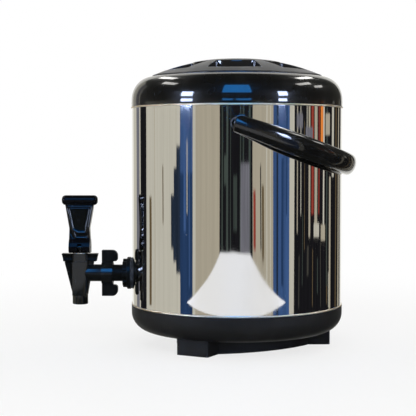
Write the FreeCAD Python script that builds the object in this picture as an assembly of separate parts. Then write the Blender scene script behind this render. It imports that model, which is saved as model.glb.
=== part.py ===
import FreeCAD, Part
import math
import os

# Insulated tea dispenser: a double-walled steel barrel with a lift-off lid, a carrying bail and a lever tap.
#
# Millimetres. The origin is on the barrel's axis, in the plane that the feet stand on. +Z is up, -X is the
# tap's side, and the bail turns about a line along Y. Every piece is a solid of its own in parts/NAME.step.

Vector = FreeCAD.Vector
UP = Vector(0, 0, 1)
ALONG_X = Vector(1, 0, 0)
ALONG_Y = Vector(0, 1, 0)
ORIGIN = Vector(0, 0, 0)
SHEET_GAP = 0.2
INNER_STEPS = 4

# Steel barrel
BARREL_R = 130.0
SHELL_WALL = 0.8
BEAD_HEIGHT = 2.0
BEAD_PROUD = 1.0
BEAD_CREST = 0.9
BASE_JOINT_Z = 49.0
SHOULDER_JOINT_Z = 294.0
POT_R = 104.0
POT_WALL = 0.8
POT_FLOOR_Z = 52.0
POT_CORNER = 12.0
POT_RIM_R = 112.0
POT_RIM_Z = 314.0

# Base bowl, skirt and feet
BASE_R = 131.0
BASE_WALL = 3.0
BASE_CORNER_R = 22.3
BASE_FLOOR_Z = 17.9
LIP_R = 128.7
LIP_WALL = 2.8
LIP_LENGTH = 8.0
SKIRT_REACH = 75.0
SKIRT_SIDE_R = 175.0
RIB_COUNT = 6
RIB_WALL = 2.4
RIB_Z = 3.0
HUB_RIB_R = 24.0
FOOT_COUNT = 3
BASE_TURN = 3.0
FOOT_REACH = 115.0
FOOT_WIDTH = 42.0
FOOT_ROOT = 86.0
FOOT_EDGE_R = 3.0
PAD_LENGTH = 24.0
PAD_WIDTH = 31.0
PAD_DEPTH = 2.5
PAD_CORNER_R = 4.0
PLUG_R = 12.0
PLUG_FLANGE_R = 15.0
PLUG_FLANGE = 2.0
PLUG_RISE = 4.0

# Shoulder ring
SHOULDER_R = 130.5
SHOULDER_SPRING_Z = 302.0
SHOULDER_TOP_Z = 330.0
SHOULDER_WALL = 3.0
MOUTH_R = 106.0
MOUTH_EDGE = 0.8
LEDGE_Z = 318.0
LEDGE_THICK = 2.8
THROAT_R = 101.0
SKIRTING_Z = 312.6

# Lid
LID_R = 105.5
LID_WALL = 2.6
LID_EDGE_Z = 330.2
LID_BEVEL = 2.8
DOME_MIDDLE_R = 76.0
DOME_MIDDLE_Z = 342.8
DOME_BREAK_R = 50.0
DOME_BREAK_Z = 349.4
CROWN_MIDDLE_R = 36.5
CROWN_MIDDLE_Z = 351.3
CROWN_FLAT_R = 20.0
LID_TOP_Z = 352.2
FLANGE_Z = 320.4
FLANGE_THICK = 2.0
LINER_R = 98.4
LINER_BOTTOM_Z = 300.0
LINER_CORNER = 6.0
LID_FOAM_TOP_Z = 326.0
SEAL_INNER_R = 102.0
SEAL_OUTER_R = 104.6
SEAL_GROOVE = 0.8
SEAL_TAPER = 0.6
SEAL_SQUEEZE_GAP = 0.1
POCKET_COUNT = 6
POCKET_TURN = -91.8
POCKET_FLOOR_Z = 330.0
POCKET_WALL = 2.2
POCKET_INNER_R = 52.7
POCKET_OUTER_R = 93.2
POCKET_INNER_HALF = 22.3
POCKET_OUTER_HALF = 34.7
POCKET_CORNER_R = 4.0
POCKET_DRAFT = 2.5
POCKET_RAMP = 6.0

# Bail and its pivots
PIVOT_Z = 270.9
BAIL_R = 147.2
BAIL_THICK = 16.0
BAIL_WIDTH = 25.5
BAIL_END_WIDTH = 18.0
BAIL_TAPER = 75.0
BAIL_REST_DEG = 19.3
BAIL_END_REACH = 5.5
BAIL_END_EDGE_R = 3.0
BAIL_STATIONS = 18
BAIL_PAD_Y = 134.2
PIVOT_PIN_R = 3.0
PIVOT_PLAY = 0.08
PIVOT_PIN_END_Y = 150.0
PIVOT_PIN_HEAD_R = 6.0
PIVOT_PIN_HEAD = 2.4
BOSS_R = 8.0
BOSS_TIP_R = 5.5
BOSS_END_Y = 133.9
PLATE_R = 15.0
PLATE_THICK = 2.0
PLATE_Y = 125.5

# Tap: the valve stands on its own upright axis, and the way to the barrel runs along X
TAP_X = -196.2
INLET_Z = 86.8
SPOUT_Z = 47.8
SPOUT_R = 9.75
SPOUT_RING = 11.2
SPOUT_BEVEL = 0.6
SPOUT_BORE_R = 7.0
COLUMN_FOOT_R = 9.45
COLUMN_TOP_R = 10.05
COLUMN_TOP_Z = 101.4
NECK_R = 8.3
NECK_TOP_Z = 109.2
CHAMBER_R = 6.9
SEAT_Z = 72.0
SEAT_BORE_R = 5.0
FIN_WALL = 5.0
FIN_TOP_X = -19.8
FIN_FOOT_X = -9.5
FIN_FOOT_Z = 59.9
GUSSET_TOP_X = 17.9
GUSSET_SIDE_X = 12.9
GUSSET_FOOT_X = 9.9
TAIL_R = 10.65
TAIL_FLANGE_R = 12.0
TAIL_FLANGE_X = -166.2
TAIL_FACE_X = -164.4
WATERWAY_R = 5.5
SHANK_R = 10.42
SHANK_BORE_R = 7.0
SHANK_MOUTH_X = -163.0
SHANK_MOUTH_END_X = -155.2
SHANK_INNER_X = -90.0
NUT_PLAY = 0.08

# Wing nut
WING_NUT_X = -168.8
WING_NUT_END_X = -154.7
WING_NUT_R = 13.8
WING_NUT_PLATE = 2.4
WING_REACH = 28.8
WING_WALL = 7.0
WING_TIP_X = -148.8
WING_UNDERCUT = 14.8

# Nuts and washers at the wall
LOBE_NUT_X = -142.0
LOBE_NUT_R = 17.9
LOBE_COUNT = 8
LOBE_CUT_R = 4.2
LOBE_CUT_AT_R = 20.6
NUT_FLANGE_X = -136.6
NUT_FLANGE_R = 20.1
NUT_FACE_X = -132.2
WASHER_R = 19.2
INNER_NUT_X = -101.0
INNER_NUT_LENGTH = 8.0
INNER_NUT_FLAT = 30.0
INNER_WASHER_R = 17.0
SLEEVE_R = 13.2
SLEEVE_BORE_R = 10.9
WALL_HOLE_R = 10.8

# Bonnet
BONNET_Z = 101.5
BONNET_TOP_Z = 111.3
BONNET_R = 10.1
BONNET_BORE_R = 8.4
BONNET_ROOF = 2.0
BONNET_BEVEL = 0.5
BONNET_WING_TOP = 22.9
BONNET_WING_FOOT = 20.7
BONNET_WING_WALL = 10.0
BONNET_SCOOP_R = 6.2
BONNET_SCOOP_DEPTH = 2.0

# Stem, cup and lever
STEM_R = 2.5
STEM_PLAY = 0.09
STEM_FOOT_Z = 73.0
STEM_DISC_R = 4.4
STEM_DISC_Z = 77.0
STEM_DISC = 2.0
STEM_EYE_R = 4.0
WASHER_OUTER_R = 9.3
SLIP_WASHER_Z = 111.35
SLIP_WASHER = 0.7
PIN_R = 1.5
PIN_HALF_LENGTH = 10.5
PIN_HEIGHT = 7.0
FOOT_GAP = 0.1
LIFT_PER_RADIAN = 4.5
LEVER_TILT_DEG = 45.0
LEVER_TOP_Z = 184.2
ROLL_R = 6.15
ROLL_HALF = 22.4
ROLL_END_R = 4.6
ROLL_Y = -0.6
PADDLE_NECK_Z = 171.9
PADDLE_TOP_HALF = 17.6
PADDLE_WAIST_Z = 143.0
PADDLE_WAIST_HALF = 12.7
LEVER_FOOT_HALF = 13.3
LEVER_STEP_Z = 131.0
LEVER_HEEL_Y = 8.0
PADDLE_FRONT_Y = -5.2
PADDLE_BACK_Y = 4.6
PANEL_PROUD = 0.9
PANEL_DEPTH = 1.1
SLOT_WALL_GAP = 0.3
SLOT_TOP_RISE = 4.6
CAM_POINTS = 8


def mix(a, b, share):
    return a + (b - a) * share


def line(a, b):
    return Part.LineSegment(a, b).toShape()


def arc(a, middle, b):
    return Part.Arc(a, middle, b).toShape()


def ellipse_quarter(side, top):
    """The quarter of a tall ellipse in the XZ plane that leaves side upright and reaches top level."""
    curve = Part.Ellipse(top, side, Vector(top.x, 0, side.z))
    return Part.ArcOfEllipse(curve, 0, math.pi / 2).toShape()


def ellipse_steps(side, top):
    """The same kind of quarter, from top to side, in a few straight steps, for a hidden inner surface."""
    points = []
    for index in range(INNER_STEPS + 1):
        turn = math.pi / 2 * index / INNER_STEPS
        points.append(rz(mix(top.x, side.x, math.sin(turn)), mix(side.z, top.z, math.cos(turn))))
    return [line(a, b) for a, b in zip(points, points[1:])]


def outline(steps):
    """A closed wire. A step is the next point, or a pair (middle, end) for an arc."""
    edges = []
    here = steps[0]
    for step in steps[1:]:
        if isinstance(step, tuple):
            edges.append(arc(here, step[0], step[1]))
            here = step[1]
        else:
            edges.append(line(here, step))
            here = step
    if here.distanceToPoint(steps[0]) > 1e-6:
        edges.append(line(here, steps[0]))
    return Part.Wire(edges)


def rounded(corners):
    """A closed wire through corner points, each with the radius that rounds it, or 0 for a sharp one."""
    edges = []
    starts = []
    ends = []
    middles = []
    for index, (corner, radius) in enumerate(corners):
        before = (corners[index - 1][0] - corner).normalize()
        after = (corners[(index + 1) % len(corners)][0] - corner).normalize()
        if radius == 0:
            starts.append(corner)
            ends.append(corner)
            middles.append(None)
            continue
        half_angle = before.getAngle(after) / 2
        cut = radius / math.tan(half_angle)
        to_centre = (before + after).normalize()
        centre = corner + to_centre * (radius / math.sin(half_angle))
        starts.append(corner + before * cut)
        ends.append(corner + after * cut)
        middles.append(centre - to_centre * radius)
    for index, middle in enumerate(middles):
        if middle is not None:
            edges.append(arc(starts[index], middle, ends[index]))
        following = starts[(index + 1) % len(starts)]
        if ends[index].distanceToPoint(following) > 1e-6:
            edges.append(line(ends[index], following))
    return Part.Wire(edges)


def rz(radius, height):
    """A point of a half section that turns about Z."""
    return Vector(radius, 0, height)


def turned(wire, centre=ORIGIN, axis=UP):
    """A solid of revolution from the wire of a half section."""
    return Part.Face(wire).revolve(centre, axis, 360)


def ring(outer, inner, bottom, top):
    """A plain ring about the barrel's axis."""
    return turned(outline([rz(inner, bottom), rz(outer, bottom), rz(outer, top), rz(inner, top)]))


def prism(wire, depth):
    return Part.Face(wire).extrude(depth)


def rod(radius, start, end):
    return Part.makeCylinder(radius, (end - start).Length, start, end - start)


def tube(outer, inner, start, end):
    return rod(outer, start, end).cut(rod(inner, start, end))


def on_inlet(x):
    """A point on the inlet's axis."""
    return Vector(x, 0, INLET_Z)


def on_tap(z, x=0.0, y=0.0):
    """A point at a height on the tap's axis, or beside it."""
    return Vector(TAP_X + x, y, z)


def moved(shape, vector):
    copy = shape.copy()
    copy.translate(vector)
    return copy


def spun(shape, degrees, centre=ORIGIN, axis=UP):
    copy = shape.copy()
    copy.rotate(centre, axis, degrees)
    return copy


def straight_along(edge, axis):
    """True for a straight edge that runs along the axis."""
    if edge.Curve.TypeId != "Part::GeomLine":
        return False
    return abs(edge.tangentAt(edge.FirstParameter).dot(axis)) > 0.999


def barrel_solid(radius):
    """A plain round of the barrel, for trimming what lies against its wall."""
    return Part.makeCylinder(radius, SHOULDER_JOINT_Z, ORIGIN, UP)


# Barrel

def make_outer_shell():
    """Sheet rolled into a barrel with a bead round each end, and holes for the tap and the pivot pins."""
    bottom = BASE_JOINT_Z + 0.1
    top = SHOULDER_JOINT_Z - 0.1
    slope = (BEAD_HEIGHT - BEAD_CREST) / 2
    shell = ring(BARREL_R, BARREL_R - SHELL_WALL, bottom, top)
    for z in (bottom, top - BEAD_HEIGHT):
        bead = outline([
            rz(BARREL_R - SHELL_WALL, z),
            rz(BARREL_R, z),
            rz(BARREL_R + BEAD_PROUD, z + slope),
            rz(BARREL_R + BEAD_PROUD, z + slope + BEAD_CREST),
            rz(BARREL_R, z + BEAD_HEIGHT),
            rz(BARREL_R - SHELL_WALL, z + BEAD_HEIGHT),
        ])
        shell = shell.fuse(turned(bead))
    shell = shell.cut(rod(WALL_HOLE_R, on_inlet(-BARREL_R - 5), on_inlet(-BARREL_R + 5)))
    across = Vector(0, BARREL_R + 5, 0)
    middle = Vector(0, 0, PIVOT_Z)
    return shell.cut(rod(PIVOT_PIN_R + SHEET_GAP, middle - across, middle + across))


def pot_section(outset, top_z):
    """The points of the pot's wall and its sloped floor corner, from the axis out and up, set out from the inside."""
    floor_z = POT_FLOOR_Z - outset
    slope = POT_CORNER + outset * math.tan(math.radians(22.5))
    return [
        rz(0, floor_z),
        rz(POT_R + outset - slope, floor_z),
        rz(POT_R + outset, floor_z + slope),
        rz(POT_R + outset, top_z),
    ]


def make_inner_pot():
    """Deep drawn cup that holds the drink, with a turned-out rim under the shoulder ring's throat."""
    outside = pot_section(POT_WALL, POT_RIM_Z - POT_WALL)
    outside += [rz(POT_RIM_R, POT_RIM_Z - POT_WALL), rz(POT_RIM_R, POT_RIM_Z), rz(0, POT_RIM_Z)]
    inside = pot_section(0, POT_RIM_Z + 1) + [rz(0, POT_RIM_Z + 1)]
    pot = turned(outline(outside)).cut(turned(outline(inside)))
    return pot.cut(rod(WALL_HOLE_R, on_inlet(-POT_R - 5), on_inlet(-POT_R + 5)))


def make_insulation_foam():
    """Foam poured between the base, the shell and the pot, up to the rim."""
    gap = SHEET_GAP
    floor = BASE_FLOOR_Z + BASE_WALL + gap
    corner = BASE_CORNER_R - BASE_WALL - gap
    centre = rz(BASE_R - BASE_CORNER_R, BASE_FLOOR_Z + BASE_CORNER_R)
    shell_r = BARREL_R - SHELL_WALL - gap
    lip_r = LIP_R - LIP_WALL - gap
    low_lip_z = BASE_JOINT_Z + LIP_LENGTH + gap
    high_lip_z = SHOULDER_JOINT_Z - LIP_LENGTH - gap
    foam = turned(outline([
        rz(0, floor),
        rz(centre.x, floor),
        rz(centre.x + corner, centre.z),
        rz(lip_r, centre.z + 4),
        rz(lip_r, low_lip_z),
        rz(shell_r, low_lip_z),
        rz(shell_r, high_lip_z),
        rz(lip_r, high_lip_z),
        rz(lip_r, SHOULDER_SPRING_Z),
        rz(POT_RIM_R + 2.5, SKIRTING_Z - 2 * gap),
        rz(0, SKIRTING_Z - 2 * gap),
    ]))
    pot_room = pot_section(POT_WALL + gap, SKIRTING_Z + 1)
    foam = foam.cut(turned(outline(pot_room + [rz(0, SKIRTING_Z + 1)])))
    foam = foam.cut(rod(SLEEVE_R + gap, on_inlet(-BARREL_R - 5), on_inlet(-POT_R + 5)))
    foam = foam.cut(rod(PLUG_R + gap, rz(0, floor - 1), rz(0, BASE_FLOOR_Z + BASE_WALL + PLUG_RISE + gap)))
    for side in (-1, 1):
        inner = Vector(0, side * (PLATE_Y - PIVOT_PIN_HEAD - gap), PIVOT_Z)
        outer = Vector(0, side * BARREL_R, PIVOT_Z)
        foam = foam.cut(rod(PLATE_R + gap, inner, outer))
    return foam


def make_shoulder_ring():
    """Moulding over the shell's top: a quarter-ellipse shoulder, the lid's seat and the ledge round the throat."""
    joint = SHOULDER_JOINT_Z
    crest_r = MOUTH_R + MOUTH_EDGE
    inner_side = rz(SHOULDER_R - SHOULDER_WALL, SHOULDER_SPRING_Z)
    inner_top = rz(crest_r, SHOULDER_TOP_Z - SHOULDER_WALL)
    skin = Part.Wire([
        line(rz(SHOULDER_R, joint), rz(SHOULDER_R, SHOULDER_SPRING_Z)),
        ellipse_quarter(rz(SHOULDER_R, SHOULDER_SPRING_Z), rz(crest_r, SHOULDER_TOP_Z)),
        line(rz(crest_r, SHOULDER_TOP_Z), inner_top),
        *ellipse_steps(inner_side, inner_top),
        line(inner_side, rz(inner_side.x, joint)),
        line(rz(inner_side.x, joint), rz(SHOULDER_R, joint)),
    ])
    seat_wall_r = MOUTH_R + SHOULDER_WALL
    seat = outline([
        rz(crest_r, SHOULDER_TOP_Z),
        rz(MOUTH_R, SHOULDER_TOP_Z - MOUTH_EDGE),
        rz(MOUTH_R, LEDGE_Z),
        rz(THROAT_R + MOUTH_EDGE, LEDGE_Z),
        rz(THROAT_R, LEDGE_Z - MOUTH_EDGE),
        rz(THROAT_R, LEDGE_Z - LEDGE_THICK),
        rz(POT_RIM_R + 0.6, LEDGE_Z - LEDGE_THICK),
        rz(POT_RIM_R + 0.6, SKIRTING_Z),
        rz(POT_RIM_R + 2.8, SKIRTING_Z),
        rz(POT_RIM_R + 2.8, LEDGE_Z),
        rz(seat_wall_r, LEDGE_Z),
        rz(seat_wall_r, SHOULDER_TOP_Z - SHOULDER_WALL),
    ])
    lip = ring(LIP_R, LIP_R - LIP_WALL, joint - LIP_LENGTH, joint + 4)
    return turned(skin).fuse(turned(seat)).fuse(lip)


def make_rim_gasket():
    return ring(POT_RIM_R - 0.3, POT_R + 1.0, POT_RIM_Z + 0.05, LEDGE_Z - LEDGE_THICK - 0.05)


def skirt_solid(side_r, bottom, top):
    """A three-sided prism with bulging sides, whose corners point at the feet."""
    solid = None
    for index in range(FOOT_COUNT):
        away = math.radians(60 + 120 * index + 180)
        centre_r = SKIRT_SIDE_R - SKIRT_REACH
        centre = Vector(centre_r * math.cos(away), centre_r * math.sin(away), bottom)
        side = Part.makeCylinder(side_r, top - bottom, centre, UP)
        solid = side if solid is None else solid.common(side)
    return solid


def foot_block(bottom, top):
    """One foot, standing at the +X side."""
    half = FOOT_WIDTH / 2
    return prism(rounded([
        (Vector(FOOT_ROOT, -half, bottom), 0),
        (Vector(FOOT_REACH, -half, bottom), FOOT_EDGE_R),
        (Vector(FOOT_REACH, half, bottom), FOOT_EDGE_R),
        (Vector(FOOT_ROOT, half, bottom), 0),
    ]), UP * (top - bottom))


def pad_block(play, bottom, top):
    """One rubber pad, at the +X side, or the pocket for it when play is added."""
    outer = FOOT_REACH - 4.5 + play
    inner = FOOT_REACH - 4.5 - PAD_LENGTH - play
    half = PAD_WIDTH / 2 + play
    return prism(rounded([
        (Vector(inner, -half, bottom), PAD_CORNER_R),
        (Vector(outer, -half, bottom), PAD_CORNER_R),
        (Vector(outer, half, bottom), PAD_CORNER_R),
        (Vector(inner, half, bottom), PAD_CORNER_R),
    ]), UP * (top - bottom))


def make_base_bowl():
    """Round bowl under the shell with a lip inside it, three feet and a ribbed skirt between them."""
    floor = BASE_FLOOR_Z
    centre = rz(BASE_R - BASE_CORNER_R, floor + BASE_CORNER_R)
    diagonal = Vector(1, 0, -1).normalize()
    inner_corner = BASE_CORNER_R - BASE_WALL
    bowl = turned(outline([
        rz(PLUG_R + 0.1, floor),
        rz(centre.x, floor),
        (centre + diagonal * BASE_CORNER_R, rz(BASE_R, centre.z)),
        rz(BASE_R, BASE_JOINT_Z),
        rz(LIP_R, BASE_JOINT_Z),
        rz(LIP_R, BASE_JOINT_Z + LIP_LENGTH),
        rz(LIP_R - LIP_WALL, BASE_JOINT_Z + LIP_LENGTH),
        rz(LIP_R - LIP_WALL, centre.z + 4),
        rz(BASE_R - BASE_WALL, centre.z),
        centre + diagonal * inner_corner,
        rz(centre.x, floor + BASE_WALL),
        rz(PLUG_R + 0.1, floor + BASE_WALL),
    ]))
    ceiling = floor + 1
    skirt = skirt_solid(SKIRT_SIDE_R, 0, ceiling)
    skirt = skirt.cut(skirt_solid(SKIRT_SIDE_R - BASE_WALL, -1, ceiling + 1))
    under = [skirt, ring(HUB_RIB_R, HUB_RIB_R - RIB_WALL, RIB_Z, ceiling)]
    for index in range(RIB_COUNT):
        rib = Part.makeBox(FOOT_REACH, RIB_WALL, ceiling - RIB_Z, Vector(HUB_RIB_R - 1, -RIB_WALL / 2, RIB_Z))
        rib = spun(rib, index * 360 / RIB_COUNT)
        under.append(rib.common(skirt_solid(SKIRT_SIDE_R - 1, 0, ceiling)))
    foot = foot_block(0, ceiling + 4)
    pocket = pad_block(0.1, -1, PAD_DEPTH)
    inside = turned(outline([
        rz(0, floor + 1),
        rz(centre.x, floor + 1),
        (centre + diagonal * (BASE_CORNER_R - 1), rz(BASE_R - 1, centre.z)),
        rz(0, centre.z),
    ]))
    foot = foot.cut(inside)
    for index in range(FOOT_COUNT):
        under.append(spun(foot, index * 360 / FOOT_COUNT))
    base = bowl.multiFuse(under)
    for index in range(FOOT_COUNT):
        base = base.cut(spun(pocket, index * 360 / FOOT_COUNT))
    return spun(base.removeSplitter(), BASE_TURN)


def make_foot_pads():
    """Three rubber pads, flush with the undersides of the feet."""
    pad = pad_block(0, 0, PAD_DEPTH - 0.1)
    return Part.makeCompound([spun(pad, BASE_TURN + index * 360 / FOOT_COUNT) for index in range(FOOT_COUNT)])


def make_foam_fill_plug():
    """Snap plug in the hole that the foam is poured through."""
    floor = BASE_FLOOR_Z
    return turned(outline([
        rz(0, floor - PLUG_FLANGE),
        rz(PLUG_FLANGE_R, floor - PLUG_FLANGE),
        rz(PLUG_FLANGE_R, floor - 0.05),
        rz(PLUG_R, floor - 0.05),
        rz(PLUG_R, floor + BASE_WALL + PLUG_RISE),
        rz(PLUG_R - 2, floor + BASE_WALL + PLUG_RISE),
        rz(PLUG_R - 2, floor + 0.5),
        rz(0, floor + 0.5),
    ]))


# Lid

def dome_outside():
    """The lid's half section from its edge to the crown."""
    return [
        rz(0, FLANGE_Z + FLANGE_THICK),
        rz(LID_R, FLANGE_Z + FLANGE_THICK),
        rz(LID_R, LID_EDGE_Z),
        rz(LID_R - LID_BEVEL * 0.3, LID_EDGE_Z + LID_BEVEL * 0.7),
        rz(LID_R - LID_BEVEL, LID_EDGE_Z + LID_BEVEL),
        (rz(DOME_MIDDLE_R, DOME_MIDDLE_Z), rz(DOME_BREAK_R, DOME_BREAK_Z)),
        (rz(CROWN_MIDDLE_R, CROWN_MIDDLE_Z), rz(CROWN_FLAT_R, LID_TOP_Z)),
        rz(0, LID_TOP_Z),
    ]


def dome_inside():
    """The hollow under the dome, a wall's thickness below it, in straight steps."""
    return [
        rz(0, FLANGE_Z + FLANGE_THICK),
        rz(LID_R - LID_WALL, FLANGE_Z + FLANGE_THICK),
        rz(LID_R - LID_WALL, LID_EDGE_Z - LID_WALL),
        rz(LID_R - LID_WALL - LID_BEVEL, LID_EDGE_Z + LID_BEVEL - LID_WALL),
        rz(DOME_MIDDLE_R, DOME_MIDDLE_Z - LID_WALL),
        rz(DOME_BREAK_R, DOME_BREAK_Z - LID_WALL),
        rz(CROWN_FLAT_R, LID_TOP_Z - LID_WALL),
        rz(0, LID_TOP_Z - LID_WALL),
    ]


def pocket_solid(grow, floor, corner_r):
    """A finger pocket at the +X side: upright at the hub, with a ramped outer wall that follows the lid's rim."""
    rise = LID_TOP_Z + 4 - floor

    def level(z, draft, ramp):
        inner = POCKET_INNER_R - grow + draft
        outer = POCKET_OUTER_R + grow - ramp
        inner_half = POCKET_INNER_HALF + grow - draft
        outer_half = POCKET_OUTER_HALF + grow - draft - ramp * 0.4
        corner = math.sqrt(outer * outer - outer_half * outer_half)
        return rounded([
            (Vector(inner, -inner_half, z), corner_r),
            (Vector(corner, -outer_half, z), corner_r),
            (Vector(outer * outer / corner, 0, z), outer * 0.75),
            (Vector(corner, outer_half, z), corner_r),
            (Vector(inner, inner_half, z), corner_r),
        ])

    return Part.makeLoft([level(floor, POCKET_DRAFT, POCKET_RAMP), level(floor + rise, 0, -1.5)], True, True)


def make_lid_cover():
    """Domed cover with six finger pockets, open underneath, with a wall round each pocket."""
    dome = turned(outline(dome_outside()))
    hollow = turned(outline(dome_inside()))
    pocket = pocket_solid(0, POCKET_FLOOR_Z, POCKET_CORNER_R)
    wall = pocket_solid(POCKET_WALL, POCKET_FLOOR_Z - POCKET_WALL, 0)
    pockets = []
    walls = []
    for index in range(POCKET_COUNT):
        turn = POCKET_TURN + index * 360 / POCKET_COUNT
        pockets.append(spun(pocket, turn))
        walls.append(spun(wall, turn))
    hollow = hollow.cut(walls[0].multiFuse(walls[1:]))
    return dome.cut(hollow).cut(pockets)


def make_lid_liner():
    """Plug that fills the throat, with a flange that carries the seal and the cover."""
    floor = LINER_BOTTOM_Z
    inner_r = LINER_R - LID_WALL
    inner_floor = floor + LID_WALL
    inner_corner = LINER_CORNER - LID_WALL * math.tan(math.radians(22.5))
    liner = turned(outline([
        rz(0, floor),
        rz(LINER_R - LINER_CORNER, floor),
        rz(LINER_R, floor + LINER_CORNER),
        rz(LINER_R, FLANGE_Z),
        rz(LID_R - SHEET_GAP, FLANGE_Z),
        rz(LID_R - SHEET_GAP, FLANGE_Z + FLANGE_THICK),
        rz(inner_r, FLANGE_Z + FLANGE_THICK),
        rz(inner_r, inner_floor + inner_corner),
        rz(inner_r - inner_corner, inner_floor),
        rz(0, inner_floor),
    ]))
    return liner.cut(ring(SEAL_OUTER_R + 0.05, SEAL_INNER_R - 0.05, FLANGE_Z - 1, FLANGE_Z + SEAL_GROOVE))


def make_lid_foam():
    radius = LINER_R - LID_WALL - SHEET_GAP
    floor = LINER_BOTTOM_Z + LID_WALL + SHEET_GAP
    return turned(outline([
        rz(0, floor),
        rz(radius - LINER_CORNER, floor),
        rz(radius, floor + LINER_CORNER),
        rz(radius, LID_FOAM_TOP_Z),
        rz(0, LID_FOAM_TOP_Z),
    ]))


def make_lid_seal():
    """Silicone ring in the flange's groove, narrower towards the ledge."""
    foot = LEDGE_Z + SEAL_SQUEEZE_GAP
    head = FLANGE_Z + SEAL_GROOVE - 0.05
    return turned(outline([
        rz(SEAL_INNER_R + SEAL_TAPER, foot),
        rz(SEAL_OUTER_R - SEAL_TAPER, foot),
        rz(SEAL_OUTER_R, head),
        rz(SEAL_INNER_R, head),
    ]))


# Bail

def bail_half_width(run):
    """Half the hoop's width at a distance along it from the pivot."""
    share = min(max(run / BAIL_TAPER, 0.0), 1.0)
    smooth = share * share * (3 - 2 * share)
    return mix(BAIL_END_WIDTH, BAIL_WIDTH, smooth) / 2


def bail_section(place, outward, run):
    """The hoop's oval section, flat on: its long way is across the hoop's plane."""
    half = bail_half_width(run)
    oval = Part.Ellipse(place + UP * half, place + outward * (BAIL_THICK / 2), place)
    return Part.Wire([oval.toShape()])


def make_bail_handle():
    """Carrying hoop of oval section that narrows to its ends, with a blind bore in a small pad at each pivot."""
    centre = Vector(0, 0, PIVOT_Z)
    sections = []
    for side in (-1, 1):
        outward = ALONG_Y * side
        end = centre + outward * BAIL_R - ALONG_X * BAIL_END_REACH
        stations = [bail_section(end, outward, 0)]
        for index in range(BAIL_STATIONS + 1):
            angle = math.radians(90 * (index / BAIL_STATIONS) ** 1.2)
            outward = Vector(math.sin(angle), side * math.cos(angle), 0)
            stations.append(bail_section(centre + outward * BAIL_R, outward, angle * BAIL_R))
        if side == 1:
            stations = stations[-2::-1]
        sections += stations
    hoop = Part.makeLoft(sections, True, True)
    end_edges = [edge for edge in hoop.Edges if edge.BoundBox.XMax < -BAIL_END_REACH + 0.01]
    hoop = hoop.makeFillet(BAIL_END_EDGE_R, end_edges)
    for side in (-1, 1):
        near = centre + ALONG_Y * side * BAIL_PAD_Y
        far = centre + ALONG_Y * side * BAIL_R
        bottom = centre + ALONG_Y * side * (PIVOT_PIN_END_Y + 0.5)
        hoop = hoop.fuse(rod(BAIL_END_REACH, near, far))
        hoop = hoop.cut(rod(PIVOT_PIN_R + PIVOT_PLAY, near - ALONG_Y * side, bottom))
    return spun(hoop, BAIL_REST_DEG, centre, ALONG_Y)


def make_pivot_boss(side):
    """Spacer that is dished to the barrel's wall and tapers to the hoop's pad."""
    wall = Vector(0, side * (BARREL_R - 4), PIVOT_Z)
    tip = Vector(0, side * BOSS_END_Y, PIVOT_Z)
    boss = Part.makeCone(BOSS_R + 1.5, BOSS_TIP_R, (tip - wall).Length, wall, tip - wall)
    boss = boss.cut(barrel_solid(BARREL_R + 0.02))
    return boss.cut(rod(PIVOT_PIN_R + 0.05, wall, tip + ALONG_Y * side))


def make_pivot_pins():
    """Two steel pins, each with its head behind a backing plate."""
    pins = []
    for side in (-1, 1):
        head = Vector(0, side * (PLATE_Y - PIVOT_PIN_HEAD), PIVOT_Z)
        plate = Vector(0, side * (PLATE_Y - 0.05), PIVOT_Z)
        tip = Vector(0, side * PIVOT_PIN_END_Y, PIVOT_Z)
        pins.append(rod(PIVOT_PIN_HEAD_R, head, plate).fuse(rod(PIVOT_PIN_R, head, tip)))
    return Part.makeCompound(pins)


def make_pivot_plates():
    """Two round plates that spread the bail's load, curved to the inside of the shell."""
    plates = []
    for side in (-1, 1):
        inner = Vector(0, side * PLATE_Y, PIVOT_Z)
        outer = Vector(0, side * BARREL_R, PIVOT_Z)
        plate = rod(PLATE_R, inner, outer).common(barrel_solid(BARREL_R - SHELL_WALL - 0.05))
        plate = plate.cut(rod(PLATE_R - 4, inner + ALONG_Y * side * PLATE_THICK, outer))
        spigot = rod(PIVOT_PIN_R + 2, inner, outer).common(barrel_solid(BARREL_R - SHELL_WALL - 0.05))
        plates.append(plate.fuse(spigot).cut(rod(PIVOT_PIN_R + 0.05, inner - ALONG_Y * side, outer)))
    return Part.makeCompound(plates)


# The way through the wall

def make_tap_shank():
    """Threaded tube through the wall, with a wider mouth that takes the wing nut."""
    shank = rod(SHANK_R, on_inlet(SHANK_MOUTH_X), on_inlet(SHANK_INNER_X))
    shank = shank.fuse(rod(TAIL_FLANGE_R, on_inlet(SHANK_MOUTH_X), on_inlet(SHANK_MOUTH_END_X)))
    return shank.cut(rod(SHANK_BORE_R, on_inlet(SHANK_MOUTH_X - 1), on_inlet(SHANK_INNER_X + 1)))


def make_outer_nut():
    """Nut with eight grip lobes and a round flange towards the barrel."""
    lobed = rod(LOBE_NUT_R, on_inlet(LOBE_NUT_X), on_inlet(NUT_FLANGE_X))
    scallop = rod(LOBE_CUT_R, on_inlet(LOBE_NUT_X - 1), on_inlet(NUT_FLANGE_X))
    scallop.translate(Vector(0, LOBE_CUT_AT_R, 0))
    for index in range(LOBE_COUNT):
        lobed = lobed.cut(spun(scallop, (index + 0.5) * 360 / LOBE_COUNT, on_inlet(0), ALONG_X))
    flange = rod(NUT_FLANGE_R, on_inlet(NUT_FLANGE_X), on_inlet(NUT_FACE_X))
    nut = lobed.fuse(flange)
    return nut.cut(rod(SHANK_R + 0.05, on_inlet(LOBE_NUT_X - 1), on_inlet(NUT_FACE_X + 1)))


def make_outer_washer():
    """Silicone washer, flat to the nut and hollowed to the barrel."""
    washer = tube(WASHER_R, SHANK_R + 0.15, on_inlet(NUT_FACE_X + 0.05), on_inlet(-BARREL_R + 5))
    return washer.cut(barrel_solid(BARREL_R + 0.05))


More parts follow.
